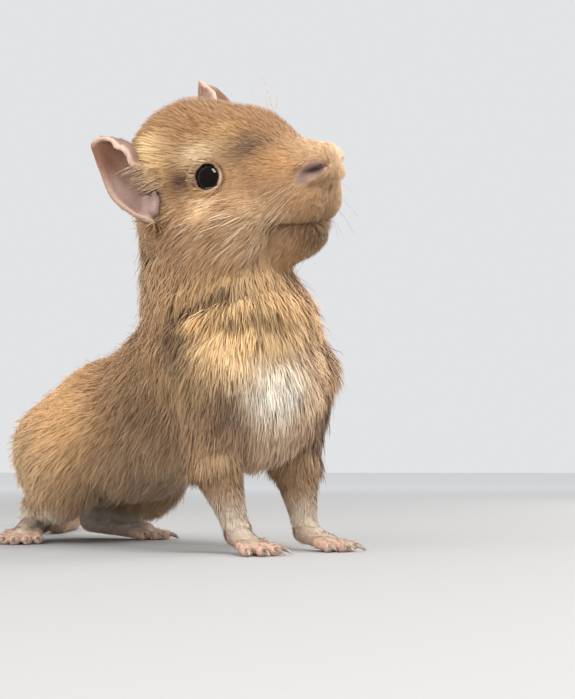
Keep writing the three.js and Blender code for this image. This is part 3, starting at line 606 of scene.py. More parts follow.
def markings_and_painted_light(P, N):
    """Colour of the coat at P (mm, local), the same on skin and tufts: its markings, with painted light and shade."""
    c = np.repeat(TAN[None], len(P), 0)
    x, y, z = P.T
    ay = np.abs(y)
    Pm = np.stack([x, ay, z], 1)
    # flank greyer brown, darkened further by painted shade over the middle of the trunk; the lower trunk painted darker
    # for shade; back and rump a warmer sandy, with a painted patch of sunlight on the rump; belly in between
    flank = bump(z, 34, 17) * sstep(ay, 6, 15) * sstep(-x, -4, 6) * sstep(x, -48, -26)
    c = mix(c, lin(118, 92, 70), 0.85 * flank)
    # painted shade: the lower trunk between the legs is darkened for the shade under the body
    c = mix(c, lin(112, 88, 68), 0.65 * sstep(-z, -32, -20) * sstep(-x, 8, 18) * sstep(x, -62, -46))
    c = mix(c, ORANGE, 0.7 * sstep(z, 40, 54) * sstep(-x, 8, 40))
    # painted light: a pale golden patch on the sandy rump stands for sunlight falling on it
    c = mix(c, lin(234, 186, 130), 1.0 * spot(Pm, [-50, 18, 37], [21, 17, 13]))
    c = mix(c, lin(204, 174, 134), 0.85 * spot(Pm, [-64, 20, 20], [15, 13, 11]))
    c = mix(c, CREAM, 0.4 * bump(x, -84, 12) * bump(z, 16, 10))
    belly = sstep(-N[:, 2], 0.1, 0.8) * sstep(-x, -30, -5) * (x < 30)
    c = mix(c, lin(196, 164, 130), 0.55 * belly * (z < 40))
    # side of the neck, golden ruff, white patch low on the breast
    c = mix(c, lin(186, 148, 108), 0.6 * spot(Pm, [-4, 20, 68], [12, 12, 14]))
    c = mix(c, lin(246, 208, 152), 1.15 * spot(Pm, [17, 12, 54], [13, 15, 13]))
    c = mix(c, lin(216, 182, 142), 0.6 * spot(Pm, [-9, 19, 76], [7, 9, 13]))
    c = mix(c, lin(140, 110, 86), 0.35 * spot(Pm, [13, 17, 37], [8.5, 7, 7]))
    c = mix(c, lin(168, 134, 100), 0.5 * spot(Pm, [2, 20, 48], [8, 8, 14]))
    c = mix(c, lin(178, 144, 122), 0.55 * spot(P, [23, -1, 54], [6, 6, 4.5]))
    # painted light: the pale breast fur of the near side is painted near white for sunlight falling on it
    c = mix(c, lin(243, 231, 213), 1.25 * spot(P, [20, -6, 44], [8.5, 8.0, 7.5]))
    c = mix(c, lin(244, 226, 206), 0.9 * spot(P, [28, 8, 44], [6, 4, 8]))
    c = mix(c, WHITE, 0.35 * spot(P, [20, 0, 28], [11, 9, 9]))
    c = mix(c, lin(160, 118, 90), 0.85 * spot(P, [19, 13, 54], [9, 8, 13]))
    # shoulder, upper arm and the paler fringe under it
    arm = sstep(-z, -46, -30) * sstep(x, -6, 2) * (x < 30) * sstep(ay, 6, 10)
    c = mix(c, lin(132, 104, 82), 0.6 * arm)
    c = mix(c, CREAM, 0.2 * spot(Pm, [12, 15, 27], [9, 8, 4]))
    # shade where the ruff falls over the shoulder
    ra, rb = A3(2, 19.5, 57), A3(17.5, 16, 37)
    rt = np.clip(((Pm - ra) @ (rb - ra)) / ((rb - ra) @ (rb - ra)), 0, 1)
    rd = np.linalg.norm(Pm - ra - rt[:, None] * (rb - ra), axis=1)
    c = mix(c, lin(84, 60, 46), 0.95 * np.exp(-(rd / 4.4) ** 2) * np.clip(0.8 + 0.3 * noise3(P, 6, 12), 0, 1))
    c = mix(c, WHITE, 0.6 * sstep(-z, -20, -8) * (x > -12))
    # hind legs: pale towards the foot
    c = mix(c, WHITE, 1.0 * sstep(-z, -14, -9) * (x < -44) * (x > -100))
    # tail: sandy above, brown tuft at the end
    td = np.clip((-88 - x) / 80, 0, 1)
    c = mix(c, lin(160, 122, 90), 0.8 * sstep(-x, 86, 96))
    c = mix(c, lin(98, 70, 52), 0.85 * sstep(td, 0.72, 0.9))
    # shade of the fold across the throat
    fd = (x > -4) & (z > 48) & (z < 78)
    if fd.any():
        w = np.zeros(len(P))
        lift_ = P[fd] - A3(0, 0, 3.4)
        w[fd] = (1.2 * np.exp(-(fold_distance(lift_) / 1.7) ** 2) + 0.7 * np.exp(-(fold_distance(lift_, FOLD2) / 1.3) ** 2)) * np.clip(0.72 + 0.42 * noise3(P[fd], 4, 9), 0, 1)
        c = mix(c, lin(58, 40, 29), 0.95 * w)
    up = z > 58
    if up.any():
        Q = to_head(P[up])
        h = c[up]
        X, Y, Z = Q.T
        Qm = np.stack([X, np.abs(Y), Z], 1)
        h = mix(h, lin(164, 122, 82), 0.9 * sstep(Z, 5, 15))
        h = mix(h, lin(166, 124, 84), 0.75 * spot(Qm, [14, 4, 13], [9, 8, 5]))
        h = mix(h, lin(186, 148, 112), 0.6 * spot(Qm, [4, 17, -9], [12, 8, 9]))
        h = mix(h, lin(216, 172, 116), 0.6 * spot(Qm, [11, 10, 12.5], [6, 6, 4]))
        h = mix(h, lin(110, 88, 76), 0.85 * spot(Qm, [17.6, 9.2, 8.6], [6.8, 5.0, 3.1]))
        h = mix(h, lin(214, 158, 102), 0.6 * spot(Qm, [22, 8, 4.0], [6, 5, 4.0]))
        h = mix(h, PEACH, 0.9 * spot(Qm, [32, 1.2, 3.4], [7.0, 4.6, 6.4]))
        # painted light: the far side of the muzzle is pale fur made paler still for sunlight falling on it
        h = mix(h, PEACH, 0.6 * spot(Q, [29, 6, -2], [6, 5, 7]))
        h = mix(h, lin(190, 154, 124), 0.5 * spot(Qm, [22, 11, -3], [6, 4, 5]))
        h = mix(h, lin(214, 184, 146), 0.55 * spot(Qm, [15.5, 12.5, -7.5], [4.5, 4, 4.0]))
        h = mix(h, lin(238, 210, 168), 1.0 * spot(Qm, [4.6, 13.2, 9.8], [4.8, 5, 2.7]))
        h = mix(h, lin(246, 212, 162), 1.0 * spot(Qm, [5.4, 15.6, -2.4], [3.2, 5, 3.0]))
        h = mix(h, lin(88, 62, 46), 0.95 * spot(Qm, [-1.0, 15.2, 4.0], [2.6, 5, 3.5]))
        h = mix(h, lin(150, 120, 96), 0.6 * spot(Qm, [-3.0, 17.5, -6.0], [4.6, 6, 5.0]))
        h = mix(h, lin(58, 40, 32), 0.95 * spot(Qm, [-6.6, 17.5, 1.5], [1.5, 4, 2.5]))
        h = mix(h, lin(250, 216, 160), 1.05 * spot(Qm, [-7.0, 16.5, 12.4], [4.0, 6, 4.6]))
        h = mix(h, lin(150, 110, 78), 0.2 * spot(Qm, [-14, 15, -5], [4, 6, 4]))
        h = mix(h, MAUVE, 0.35 * spot(Qm, [20, 9, -12], [6, 6, 5]))
        h = mix(h, lin(222, 190, 150), 0.7 * spot(Qm, [13, 11, -13.5], [7, 5, 5]))
        # painted shade: the chin is darkened for the shade that falls on it
        h = mix(h, lin(104, 74, 54), 0.7 * spot(Qm, [26, 3, -14.6], [5.5, 6, 4.4]))
        h = mix(h, lin(128, 92, 74), 0.5 * bump(Z + 10.6 + 0.10 * (X - 20), 0, 1.3) * sstep(X, 13, 18))
        c[up] = h
    return c * (1 + 0.09 * noise3(P, 9, 3) + 0.06 * noise3(P, 3.2, 5))[:, None]


# bare skin: nose, lids, ears, soles and toes
def bare(P):
    w = np.zeros(len(P))
    col = np.repeat(PINK[None], len(P), 0)
    up = P[:, 2] > 58
    if up.any():
        Q = to_head(P[up])
        Qm = np.stack([Q[:, 0], np.abs(Q[:, 1]), Q[:, 2]], 1)
        nose = np.clip(1.8 * spot(Qm, [30.1, 5.6, 0.7], [2.7, 3.2, 2.1]) + 1.0 * spot(Qm, [27.2, 8.0, -1.2], [2.2, 2.4, 1.9]), 0, 1)
        rel = Qm - EYE_C
        n = eye_out(1)
        ax = rel @ n
        rr = np.linalg.norm(rel - ax[:, None] * n, axis=1)
        tang = rel - ax[:, None] * n
        low = (tang @ unit(np.cross(n, [0, 0, 1.0])) - tang[:, 2]) / np.maximum(rr, 0.3) / 1.42
        lid = bump(rr, 3.25, 0.55) * (ax > 1.0)
        mouth = bump(Q[:, 2] + 10.6 + 0.10 * (Q[:, 0] - 20), 0, 0.6) * sstep(Q[:, 0], 16, 20)
        ww = np.clip(np.maximum(np.maximum(nose, lid), mouth * 0.8), 0, 1)
        cc = np.repeat(PINK[None], len(Q), 0)
        cc = mix(cc, NOSEC, nose)
        # painted shade: the nostril slits are painted near black for the shade inside them
        cc = mix(cc, lin(58, 42, 40), 1.2 * spot(Qm, [30.2, 5.6, 0.6], [2.6, 2.6, 0.7]))
        # eyelid rim dark brown, with a painted highlight: paler along its lower right side
        lc = mix(np.repeat(lin(106, 78, 60)[None], len(Q), 0), lin(206, 178, 152), sstep(low, 0.1, 0.9))
        cc = np.where((lid > 0.02)[:, None], cc * (1 - lid[:, None]) + lc * lid[:, None], cc)
        cc = mix(cc, lin(52, 38, 34), bump(rr, 2.8, 0.34) * (ax > 1.0))
        cc = mix(cc, lin(96, 62, 54), mouth)
        w[up], col[up] = ww, cc
    return w, col


def ear_info(P):
    """How much of the ear a point is on, with its place (v, u) and side (+ hollow)."""
    w = np.zeros(len(P))
    vv = np.zeros(len(P))
    uu = np.zeros(len(P))
    face = np.zeros(len(P))
    which = np.zeros(len(P), int)
    Q = to_head(P)
    for k, (name, E) in enumerate(EAR_DATA.items()):
        near = np.nonzero(np.all((Q > E["lo"]) & (Q < E["hi"]), 1))[0]
        for i in near:
            co, j, dist = E["tree"].find(Q[i])
            if dist < 1.9 and E["v"][j] > 0.02:
                w[i] = min(1.0, max(0.0, (1.9 - dist) / 0.5))
                vv[i], uu[i] = E["v"][j], E["u"][j]
                face[i] = (Q[i] - E["P"][j]) @ E["n"][j]
                which[i] = k
    return w, vv, uu, face, which


NRM = unit(gradient(skin_distance, V))
say("normals")
ew, ev, eu, ef, ek = ear_info(V)
# an ear only counts as ear where it stands clear of the head
Qv = to_head(V)
hd = None
for (nm, f_, args_, k_, dep_, m_), v_ in zip(HEAD, head_parts(Qv)):
    hd = v_ if hd is None else smin(hd, v_, k_)
clear = sstep(hd, 0.2, 2.2)
ew = ew * clear
col = markings_and_painted_light(V, NRM)
bw, bc = bare(V)
skin_col = col * 0.88
skin_col = mix(skin_col, bc, bw)
inner = (ef > 0).astype(float)
rimw = np.maximum(bump(np.abs(eu), 1.0, 0.035), bump(ev, 1.0, 0.02))
rolled = sstep(eu * np.where(ek == 0, 1, -1), 0.55, 0.8) * sstep(ev, 0.3, 0.5)
e_in = np.repeat(EARSKIN[None], len(V), 0)
e_in = mix(e_in, lin(126, 80, 54), 0.85 * sstep(ev, 0.50, 0.82))
e_in = mix(e_in, lin(132, 104, 98), 0.6 * sstep(-ev, -0.45, -0.1))
e_out = mix(np.repeat(lin(166, 130, 104)[None], len(V), 0), lin(146, 114, 96), sstep(ev, 0.3, 0.8))
ec = np.where(inner[:, None] > 0.5, e_in, e_out)
ec = mix(ec, lin(146, 116, 104), 0.85 * rolled)
ec = mix(ec, lin(216, 184, 164), 0.8 * rimw * sstep(eu * np.where(ek == 0, 1, -1), -0.6, 0.9) + 0.35 * rimw)
skin_col = mix(skin_col, ec, ew)
bare_ear = np.zeros(len(V))
for e_ in EARS.values():
    lb_ = ear_lobes(e_)
    lw_ = sstep(-np.minimum(cone(Qv, *lb_["low"]), cone(Qv, *lb_["front"])), -1.1, 0.1)
    cw_ = sstep(-cone(Qv, *lb_["canal"]), -0.9, 0.0)
    skin_col = mix(skin_col, lin(154, 128, 120), lw_)
    # painted shade: the canal and the deep of the ear's hollow are painted near black, and the skin over the mouth of
    # the ear is its mauve made darker, for the shade inside the ear
    skin_col = mix(skin_col, lin(48, 34, 30), cw_)
    mo_ = (in_ear_mouth(Qv, e_) & (ew < 0.5)).astype(float)
    deep_ = np.clip(1.3 * spot(Qv, (lb_["canal"][0] + lb_["canal"][1]) / 2, [3.6, 3.8, 3.9]), 0, 1)
    skin_col = mix(skin_col, lin(112, 84, 74), 0.85 * mo_ * (1 - lw_))
    skin_col = mix(skin_col, lin(46, 32, 27), 0.95 * deep_ * (1 - lw_))
    skin_col = mix(skin_col, lin(48, 34, 30), cw_)
    bare_ear = np.maximum(bare_ear, np.maximum(np.maximum(lw_, cw_), mo_))
# feet: pink, granular
foot = sstep(-V[:, 2], -9, -6) * ((V[:, 0] > 6) | ((V[:, 0] < -40) & (V[:, 0] > -86))) * (np.abs(V[:, 1]) < 60)
tail_mask = (V[:, 0] < -84)
foot = foot * ~tail_mask
skin_col = mix(skin_col, lin(222, 178, 158), 0.85 * foot)

skin = mesh_object("skin", world(V), F)
color_layer(skin.data, "Col", skin_col)
say("skin", len(F) * 2, "triangles")


# ------------------------------------------------------------------ unwrap of the skin's own shape
# Each part of the body has six charts, one for each way its surface faces; a
# chart lays the surface out flat along that direction, at one scale.
PARTS = ["head", "neck", "trunk", "arm_l", "arm_r", "leg_l", "leg_r", "tail", "ear_l", "ear_r"]
EXTENT = {"head": 64, "neck": 56, "trunk": 118, "arm_l": 46, "arm_r": 46, "leg_l": 60, "leg_r": 60, "tail": 120, "ear_l": 30, "ear_r": 30}
CENTRE = {"head": [0, 0, 0], "neck": [0, -3, 66], "trunk": [-34, 0, 36], "arm_l": [14, 13, 22], "arm_r": [14, -13, 22],
          "leg_l": [-62, 18, 16], "leg_r": [-62, -18, 16], "tail": [-130, 28, 8], "ear_l": [-15, 20, 12], "ear_r": [-15, -20, 10]}


def part_of(P, ear_w, ear_k):
    x, y, z = P.T
    hd_ = head_sd(P)
    part = np.full(len(P), PARTS.index("trunk"))
    part[z > 58] = PARTS.index("neck")
    part[(hd_ < 3.5) & (z > 62)] = PARTS.index("head")
    arm = (z < 30) & (x > -6)
    part[arm & (y > 0)] = PARTS.index("arm_l")
    part[arm & (y <= 0)] = PARTS.index("arm_r")
    leg = (z < 18) & (x < -36) & (x > -88) & (np.abs(y) > 4)
    part[leg & (y > 0)] = PARTS.index("leg_l")
    part[leg & (y <= 0)] = PARTS.index("leg_r")
    part[x < -88] = PARTS.index("tail")
    part[(ear_w > 0.4) & (ear_k == 0)] = PARTS.index("ear_r")
    part[(ear_w > 0.4) & (ear_k == 1)] = PARTS.index("ear_l")
    return part


def head_sd(P):
    Q = to_head(P)
    h = None
    for (nm, f, args, k, dep, m), v in zip(HEAD, head_parts(Q)):
        h = v if h is None else smin(h, v, k)
    return h


def layout():
    """Places of the charts in the unit square: rows of squares, largest first."""
    items = sorted(((EXTENT[p], p, a) for p in PARTS for a in range(6)), reverse=True)
    for scale in np.linspace(0.0052, 0.001, 90):
        x = y = row = 0.0
        rects, ok = {}, True
        for e, p, a in items:
            s = e * scale
            if x + s > 1:
                x, y, row = 0.0, y + row + 0.004, 0.0
            if y + s > 1:
                ok = False
                break
            rects[(p, a)] = (x, y, s)
            x += s + 0.004
            row = max(row, s)
        if ok:
            return rects, scale
    raise RuntimeError("no room")


RECTS, UVSCALE = layout()


def unwrap(P, N, part):
    uv = np.zeros((len(P), 2))
    for pi, p in enumerate(PARTS):
        m = part == pi
        if not m.any():
            continue
        q, n = P[m] - np.asarray(CENTRE[p], float), N[m]
        if p in ("head", "ear_l", "ear_r"):
            q, n = to_head(P[m]) - np.asarray(CENTRE[p], float), n @ HEAD_R
        ax = np.abs(n).argmax(1)
        sg = (np.take_along_axis(n, ax[:, None], 1)[:, 0] > 0).astype(int)
        chart = ax * 2 + sg
        out = np.zeros((len(q), 2))
        for a in range(6):
            k = chart == a
            if not k.any():
                continue
            i, j = [(1, 2), (0, 2), (0, 1)][a // 2]
            x0, y0, s = RECTS[(p, a)]
            w = np.stack([q[k, i], q[k, j]], 1) * UVSCALE + s / 2
            out[k] = np.clip(w, 0.0016, s - 0.0016) + [x0, y0]
        uv[m] = out
    return uv


# ------------------------------------------------------------------ the lie and length of the coat
# part: direction (None: away from the nose), length, width, tufts to the mm2
COAT = {
    "rump": ([-1.0, 0, -0.22], 6.6, 0.26, 10.5),
    "loin": ([-0.95, 0, -0.42], 6.6, 0.26, 10.5),
    "thorax": ([-0.6, 0, -0.8], 6.6, 0.26, 10.5),
    "chest": ([-0.1, 0, -1.0], 7.8, 0.30, 9.5),
    "neck": ([-0.22, 0, -1.0], 7.2, 0.28, 10.0),
    "ruff": ([0.25, 0, -1.0], 8.8, 0.31, 9.5),
    "thigh": ([-0.95, 0, -0.45], 7.0, 0.28, 9.5),
    "arm": ([-0.22, 0, -1.0], 7.4, 0.29, 9.5),
    "forearm": ([0.15, 0, -1.0], 3.0, 0.20, 14.0),
    "shank": ([-0.3, 0, -1.0], 3.2, 0.20, 14.0),
    "cranium": (None, 4.1, 0.21, 15.0),
    "forehead": (None, 3.2, 0.18, 18.0),
    "snout": (None, 2.3, 0.155, 22.0),
    "cheek": (None, 4.8, 0.22, 14.0),
    "lip": (None, 2.2, 0.15, 22.0),
    "chin": (None, 3.2, 0.18, 17.0),
}


def coat_fields(P, N):
    """Direction, length, width, density and depth of the coat at the points."""
    n = len(P)
    D = np.zeros((n, 3))
    S = np.zeros((n, 4))
    W = np.zeros(n)
    Q = to_head(P)
    radial = Q - A3(33, 0, 1.0)
    radial[:, 1] *= 1.25
    radial[:, 2] *= 1.15
    radial = unit(radial) @ HEAD_R.T
    items = list(zip(BODY, body_parts(P))) + list(zip(HEAD, head_parts(Q)))
    for (name, f, args, k, depth, m), d in items:
        direction, L, wid, dens = COAT[name]
        w = np.exp(-np.clip(d, 0, 40) / 2.2)
        dd = radial if direction is None else np.repeat(np.array(direction, float)[None], n, 0)
        D += w[:, None] * unit(dd)
        S += w[:, None] * np.array([L, wid, dens, depth])
        W += w
    D /= W[:, None]
    S /= W[:, None]
    # lower on the trunk the coat turns down and hangs
    low = sstep(-P[:, 2], -32, -14) * sstep(-P[:, 0], -6, 4) * sstep(P[:, 0], -72, -50)
    D[:, 2] -= 0.75 * low
    D[:, 2] -= 0.35 * sstep(-P[:, 2], -26, -10) * sstep(-P[:, 0], 48, 62) * (P[:, 0] > -88)
    # the ruff parts in the middle of the breast
    ruff = spot(P, [22, 0, 54], [10, 12, 11])
    D[:, 1] += 0.55 * ruff * sstep(P[:, 1], -16, 2)
    t = sstep(-P[:, 0], 80, 92)
    if (t > 0).any():
        m = t > 0
        j = np.argmin(((P[m][:, None, :] - TAIL_P[None]) ** 2).sum(2), 1)
        tan = unit(np.gradient(TAIL_P, axis=0))[j]
        u = j / (len(TAIL_P) - 1)
        tip = sstep(u, 0.66, 0.82)
        dep = np.clip(TAIL_R[j] - TAIL_SKIN[j], 0.5, 4)
        row = np.stack([3.4 + 6.5 * tip, 0.22 + 0 * u, 13 + 6 * tip, dep], 1)
        D[m] = D[m] * (1 - t[m])[:, None] + tan * t[m][:, None]
        S[m] = S[m] * (1 - t[m])[:, None] + row * t[m][:, None]
    for cones in FEET.values():
        a = np.array(cones[0]["a"])
        near = (np.linalg.norm(P[:, :2] - (a[:2] + np.array(cones[0]["b"])[:2]) / 2, axis=1) < 24) & (P[:, 2] < 9)
        if not near.any():
            continue
        dist = np.min([cone(P[near], c["a"], c["b"], c["ra"], c["rb"]) for c in cones], 0)
        w = sstep(-dist, -2.6, 0.2) * sstep(-P[near][:, 2], -9, -6.5)
        fd = np.array([cones[0]["dir"][0], cones[0]["dir"][1], -0.1])
        D[near] = D[near] * (1 - w)[:, None] + fd * w[:, None]
        S[near] = S[near] * (1 - w)[:, None] + np.array([1.7, 0.14, 16.0, 0.35]) * w[:, None]
    # shorter and finer round the eye, the nostrils and the mouth
    Qm = np.stack([Q[:, 0], np.abs(Q[:, 1]), Q[:, 2]], 1)
    eye = spot(Qm, EYE_C + A3(0, 3, 0), [6.5, 6, 6])
    S[:, 0] *= 1 - 0.58 * eye
    S[:, 1] *= 1 - 0.30 * eye
    S[:, 2] *= 1 + 0.7 * eye
    S[:, 3] *= 1 - 0.55 * eye
    nose = spot(Qm, NOSE_C, [8, 8, 7])
    S[:, 0] *= 1 - 0.45 * nose
    S[:, 1] *= 1 - 0.15 * nose
    S[:, 3] *= 1 - 0.5 * nose
    # the tuft before the ear, the fringe under the shoulder, the belly
    Pm = np.stack([P[:, 0], np.abs(P[:, 1]), P[:, 2]], 1)
    S[:, 0] *= 1 + 0.75 * spot(Qm, [-6.5, 15, 11], [4.0, 6, 6])
    S[:, 0] *= 1 + 0.50 * spot(Pm, [4, 19, 27], [12, 8, 7])
    be = sstep(-N[:, 2], 0.2, 0.9) * (P[:, 0] < 0) * (P[:, 0] > -80) * (P[:, 2] > 8)
    S[:, 0] *= 1 + 0.25 * be
    return D, S


def scatter(V, F, NRM, dens_fn):
    tri = np.concatenate([F[:, [0, 1, 2]], F[:, [0, 2, 3]]])
    a, b, c = V[tri[:, 0]], V[tri[:, 1]], V[tri[:, 2]]
    area = np.linalg.norm(np.cross(b - a, c - a), axis=1) / 2
    cen = (a + b + c) / 3
    dens = dens_fn(cen, tri)
    want = area * dens
    k = np.floor(want + RNG.random(len(want))).astype(int)
    t = np.repeat(np.arange(len(tri)), k)
    r1, r2 = np.sqrt(RNG.random(len(t))), RNG.random(len(t))
    w = np.stack([1 - r1, r1 * (1 - r2), r1 * r2], 1)
    P = (V[tri[t]] * w[:, :, None]).sum(1)
    N = unit((NRM[tri[t]] * w[:, :, None]).sum(1))
    return P, N, tri[t], w


VD, VS = coat_fields(V, NRM)
# where no coat grows
hair = 1 - np.clip(bw * 1.35, 0, 1)
hair *= np.where(ew > 0.3, np.where(ef > 0, 0.0, 0.34 * (np.abs(eu) < 0.93) * (ev < 0.96)), 1.0)
hair *= ~((V[:, 2] < 1.2) & (NRM[:, 2] < -0.3))
Qm_ = np.stack([Qv[:, 0], np.abs(Qv[:, 1]), Qv[:, 2]], 1)
rel_ = Qm_ - EYE_C
ax_ = rel_ @ eye_out(1)
rr_ = np.linalg.norm(rel_ - ax_[:, None] * eye_out(1), axis=1)
hair *= ~((rr_ < 3.85) & (ax_ > 0.5))
toes_ = sstep(-V[:, 2], -4.2, -2.6) * foot
hair *= 1 - 0.75 * toes_
hair *= 1 - np.clip(bare_ear * 1.4, 0, 1)
on_ear = ew > 0.3
VS[on_ear] = np.array([1.5, 0.10, 16.0, 0.35])
VS[on_ear & (ef > 0), 0] = 1.5
for k_, (nm_, e_) in enumerate(EARS.items()):
    VD[on_ear & (ek == k_)] = HEAD_R @ ear_frame(e_)[1]
density = VS[:, 2] * hair
TRIANGLES = 1440000
tri_ = np.concatenate([F[:, [0, 1, 2]], F[:, [0, 2, 3]]])
ar_ = np.linalg.norm(np.cross(V[tri_[:, 1]] - V[tri_[:, 0]], V[tri_[:, 2]] - V[tri_[:, 0]]), axis=1) / 2
per_ = np.where(VS[:, 0] < 3.7, 3, 5)
asked = (ar_ * (density * per_)[tri_].mean(1)).sum()
factor = min(1.5, TRIANGLES / asked)
say("area", ar_.sum(), "asked", asked, "factor", factor)
RP, RN, RT, RW = scatter(V, F, NRM, lambda c, t: density[t].mean(1) * factor)
pick = lambda X: (X[RT] * (RW if X.ndim == 1 else RW[:, :, None])).sum(1)
RD, RS = pick(VD), pick(VS)
R_ew, R_ef = pick(ew), pick(ef)
R_ek = ek[RT[:, 0]]
n_root = len(RP)
say("roots", n_root)

# direction: laid along the skin, with slow waves
RD = unit(RD - (RD * RN).sum(1)[:, None] * RN)
side_ = np.cross(RN, RD)
swing = noise3(RP, 17, 11) * 0.20 + noise3(RP, 6, 12) * 0.10 + RNG.normal(0, 0.09, n_root)
RD = unit(RD * np.cos(swing)[:, None] + side_ * np.sin(swing)[:, None])
side_ = np.cross(RN, RD)

# locks: the tips lean to the middle of their lock
L = RS[:, 0] * RNG.uniform(0.75, 1.18, n_root) * (1 + 0.12 * noise3(RP, 5, 21))
QR = to_head(RP)
QRm = np.stack([QR[:, 0], np.abs(QR[:, 1]), QR[:, 2]], 1)
long_pale = RNG.random(n_root) < 0.022 * spot(QRm, [13, 13.5, -7], [8, 7, 7])
L[long_pale] = RNG.uniform(7, 12, int(long_pale.sum()))
face = np.nonzero((np.linalg.norm(QRm - EYE_C, axis=1) < 12) | (QR[:, 0] > 22))[0]
fit = np.zeros(len(face), bool)
keep_L = np.full(len(face), 0.45)
for part_ in (1.0, 0.75, 0.5, 0.3):
    tq = to_head(RP[face] + RD[face] * (L[face] * part_)[:, None])
    tq[:, 1] = np.abs(tq[:, 1])
    rel = tq - EYE_C
    ax = rel @ eye_out(1)
    rr = np.linalg.norm(rel - ax[:, None] * eye_out(1), axis=1)
    nos = 1.8 * spot(tq, [30.1, 5.6, 0.7], [2.7, 3.2, 2.1]) + spot(tq, [27.2, 8.0, -1.2], [2.2, 2.4, 1.9])
    ok = ((rr > 3.85) | (ax < 0)) & (nos < 0.45) & ~fit
    keep_L[ok] = (L[face] * part_)[ok]
    fit |= ok
L[face] = keep_L
for e_ in EARS.values():
    near_ = np.nonzero((np.linalg.norm(QR - np.array(e_["base"]), axis=1) < 19) & (R_ew < 0.3) & ~in_ear_mouth(QR, e_))[0]
    fit = np.zeros(len(near_), bool)
    keep_L = np.full(len(near_), 0.5)
    for part_ in (1.0, 0.75, 0.5, 0.3, 0.16):
        ok = ~fit
        for f_ in (0.35, 0.7, 1.0):
            ok &= ~in_ear_mouth(to_head(RP[near_] + RD[near_] * (L[near_] * part_ * f_)[:, None]), e_)
        keep_L[ok] = (L[near_] * part_)[ok]
        fit |= ok
    L[near_] = keep_L
    B_, T_, N_, S_ = ear_frame(e_)
    under_ = np.nonzero((np.linalg.norm(QR - (B_ - S_ * e_["roll"] * 7), axis=1) < 8) & (R_ew < 0.3))[0]
    L[under_] = np.minimum(L[under_], 3.2)
depth = RS[:, 3]
spacing = np.clip(L * 0.36, 0.7, 2.8)
seeds = np.nonzero(RNG.random(n_root) < np.clip(1.0 / (spacing ** 2 * RS[:, 2] * factor * 0.9), 0, 1))[0]
kd = KDTree(len(seeds))
for i, q in enumerate(seeds):
    kd.insert(RP[q], i)
kd.balance()
lock = seeds[np.array([kd.find(p)[1] for p in RP])]
say("locks", len(seeds))
lock_rand = RNG.random(n_root)[lock]
lean = RP[lock] - RP
lean -= (lean * RN).sum(1)[:, None] * RN
ln = np.linalg.norm(lean, axis=1)
lean *= np.minimum(1, 2.2 / np.maximum(ln, 1e-9))[:, None]
gather = 0.44 * sstep(L, 2.6, 7.0) + 0.08
fringe = spot(np.stack([RP[:, 0], np.abs(RP[:, 1]), RP[:, 2]], 1), [4, 19, 27], [12, 8, 8]) + 0.7 * spot(RP, [20, -6, 52], [9, 16, 12])
gather = np.clip(gather + 0.35 * fringe, 0, 0.9)

# each tuft rises through the depth of the coat, then lies along it
rise = depth * RNG.uniform(0.62, 1.05, n_root) * (0.90 + 0.20 * lock_rand)
stray = RNG.random(n_root) < 0.03
rise[stray] *= 1.5
L[stray] *= 1.15
# short fuzz along the crown, looser hairs at the nape
fuzz = RNG.random(n_root) < 0.22 * sstep(QR[:, 2], 7, 13) * (QR[:, 0] < 17) * (R_ew < 0.3)
rise[fuzz] = np.clip(rise[fuzz] * 2.1, 0, 0.5 * L[fuzz] + 0.6)
nape = RNG.random(n_root) < 0.16 * spot(np.stack([RP[:, 0], np.abs(RP[:, 1]), RP[:, 2]], 1), [-11, 14, 80], [9, 12, 13])
rise[nape] = np.minimum(rise[nape] * 2.0, 0.6 * L[nape])
width = RS[:, 1] * RNG.uniform(0.8, 1.2, n_root)
roll = RNG.normal(0, 0.32, n_root)
bvec = side_ * np.cos(roll)[:, None] + RN * np.sin(roll)[:, None]
tang_len = np.sqrt(np.maximum(L ** 2 - rise ** 2, 0.2))
curl = RNG.normal(0, 0.07, n_root) * L
tip_at = RP + RD * tang_len[:, None] + RN * rise[:, None]
need = np.clip(0.35 * depth - skin_distance(tip_at, False), 0, 4)
need[R_ew > 0.3] = 0


def centre_line(k, t):
    h = rise[k] * (1 - (1 - t) ** 2.0) - 0.10 + need[k] * t
    c = RP[k] + RD[k] * (tang_len[k] * t)[:, None] + RN[k] * h[:, None] + lean[k] * (gather[k] * t ** 1.3)[:, None] + side_[k] * (curl[k] * t * t)[:, None]
    c[:, 2] -= 0.08 * L[k] * t * t * (depth[k] > 2.2)
    return c


base = markings_and_painted_light(RP, RN)
base = mix(base, lin(206, 178, 150), 0.8 * R_ew)
# locks and tufts differ a little; some pale and some dark guard hairs
vary = 1 + 0.07 * (lock_rand - 0.5) * 2 + RNG.normal(0, 0.04, n_root)
base = base * vary[:, None]
warm = RNG.normal(0, 0.02, n_root)
base = base * np.stack([1 + warm, np.ones(n_root), 1 - warm], 1)
pale = (RNG.random(n_root) < 0.05) | long_pale
base[long_pale] = base[long_pale] * 0.6 + WHITE * 0.4
base[pale] = base[pale] * 0.8 + WHITE * 0.2
dark = RNG.random(n_root) < 0.03
base[dark] *= 0.8

partR = part_of(RP, R_ew, R_ek)
uvR = unwrap(RP, RN, partR)
lock_tilt = RNG.normal(0, 0.11, (n_root, 3))[lock] + RNG.normal(0, 0.06, (n_root, 3))
PATCH7 = np.array([[-1, -1], [1, -1], [-1, -0.2], [1, -0.2], [-0.8, 0.5], [0.8, 0.5], [0, 1]]) * 0.0014
PATCH5 = np.array([[-1, -1], [1, -1], [-1, 0.1], [1, 0.1], [0, 1]]) * 0.0014
TRI7 = np.array([[0, 1, 3], [0, 3, 2], [2, 3, 5], [2, 5, 4], [4, 5, 6]])
TRI5 = np.array([[0, 1, 3], [0, 3, 2], [2, 3, 4]])
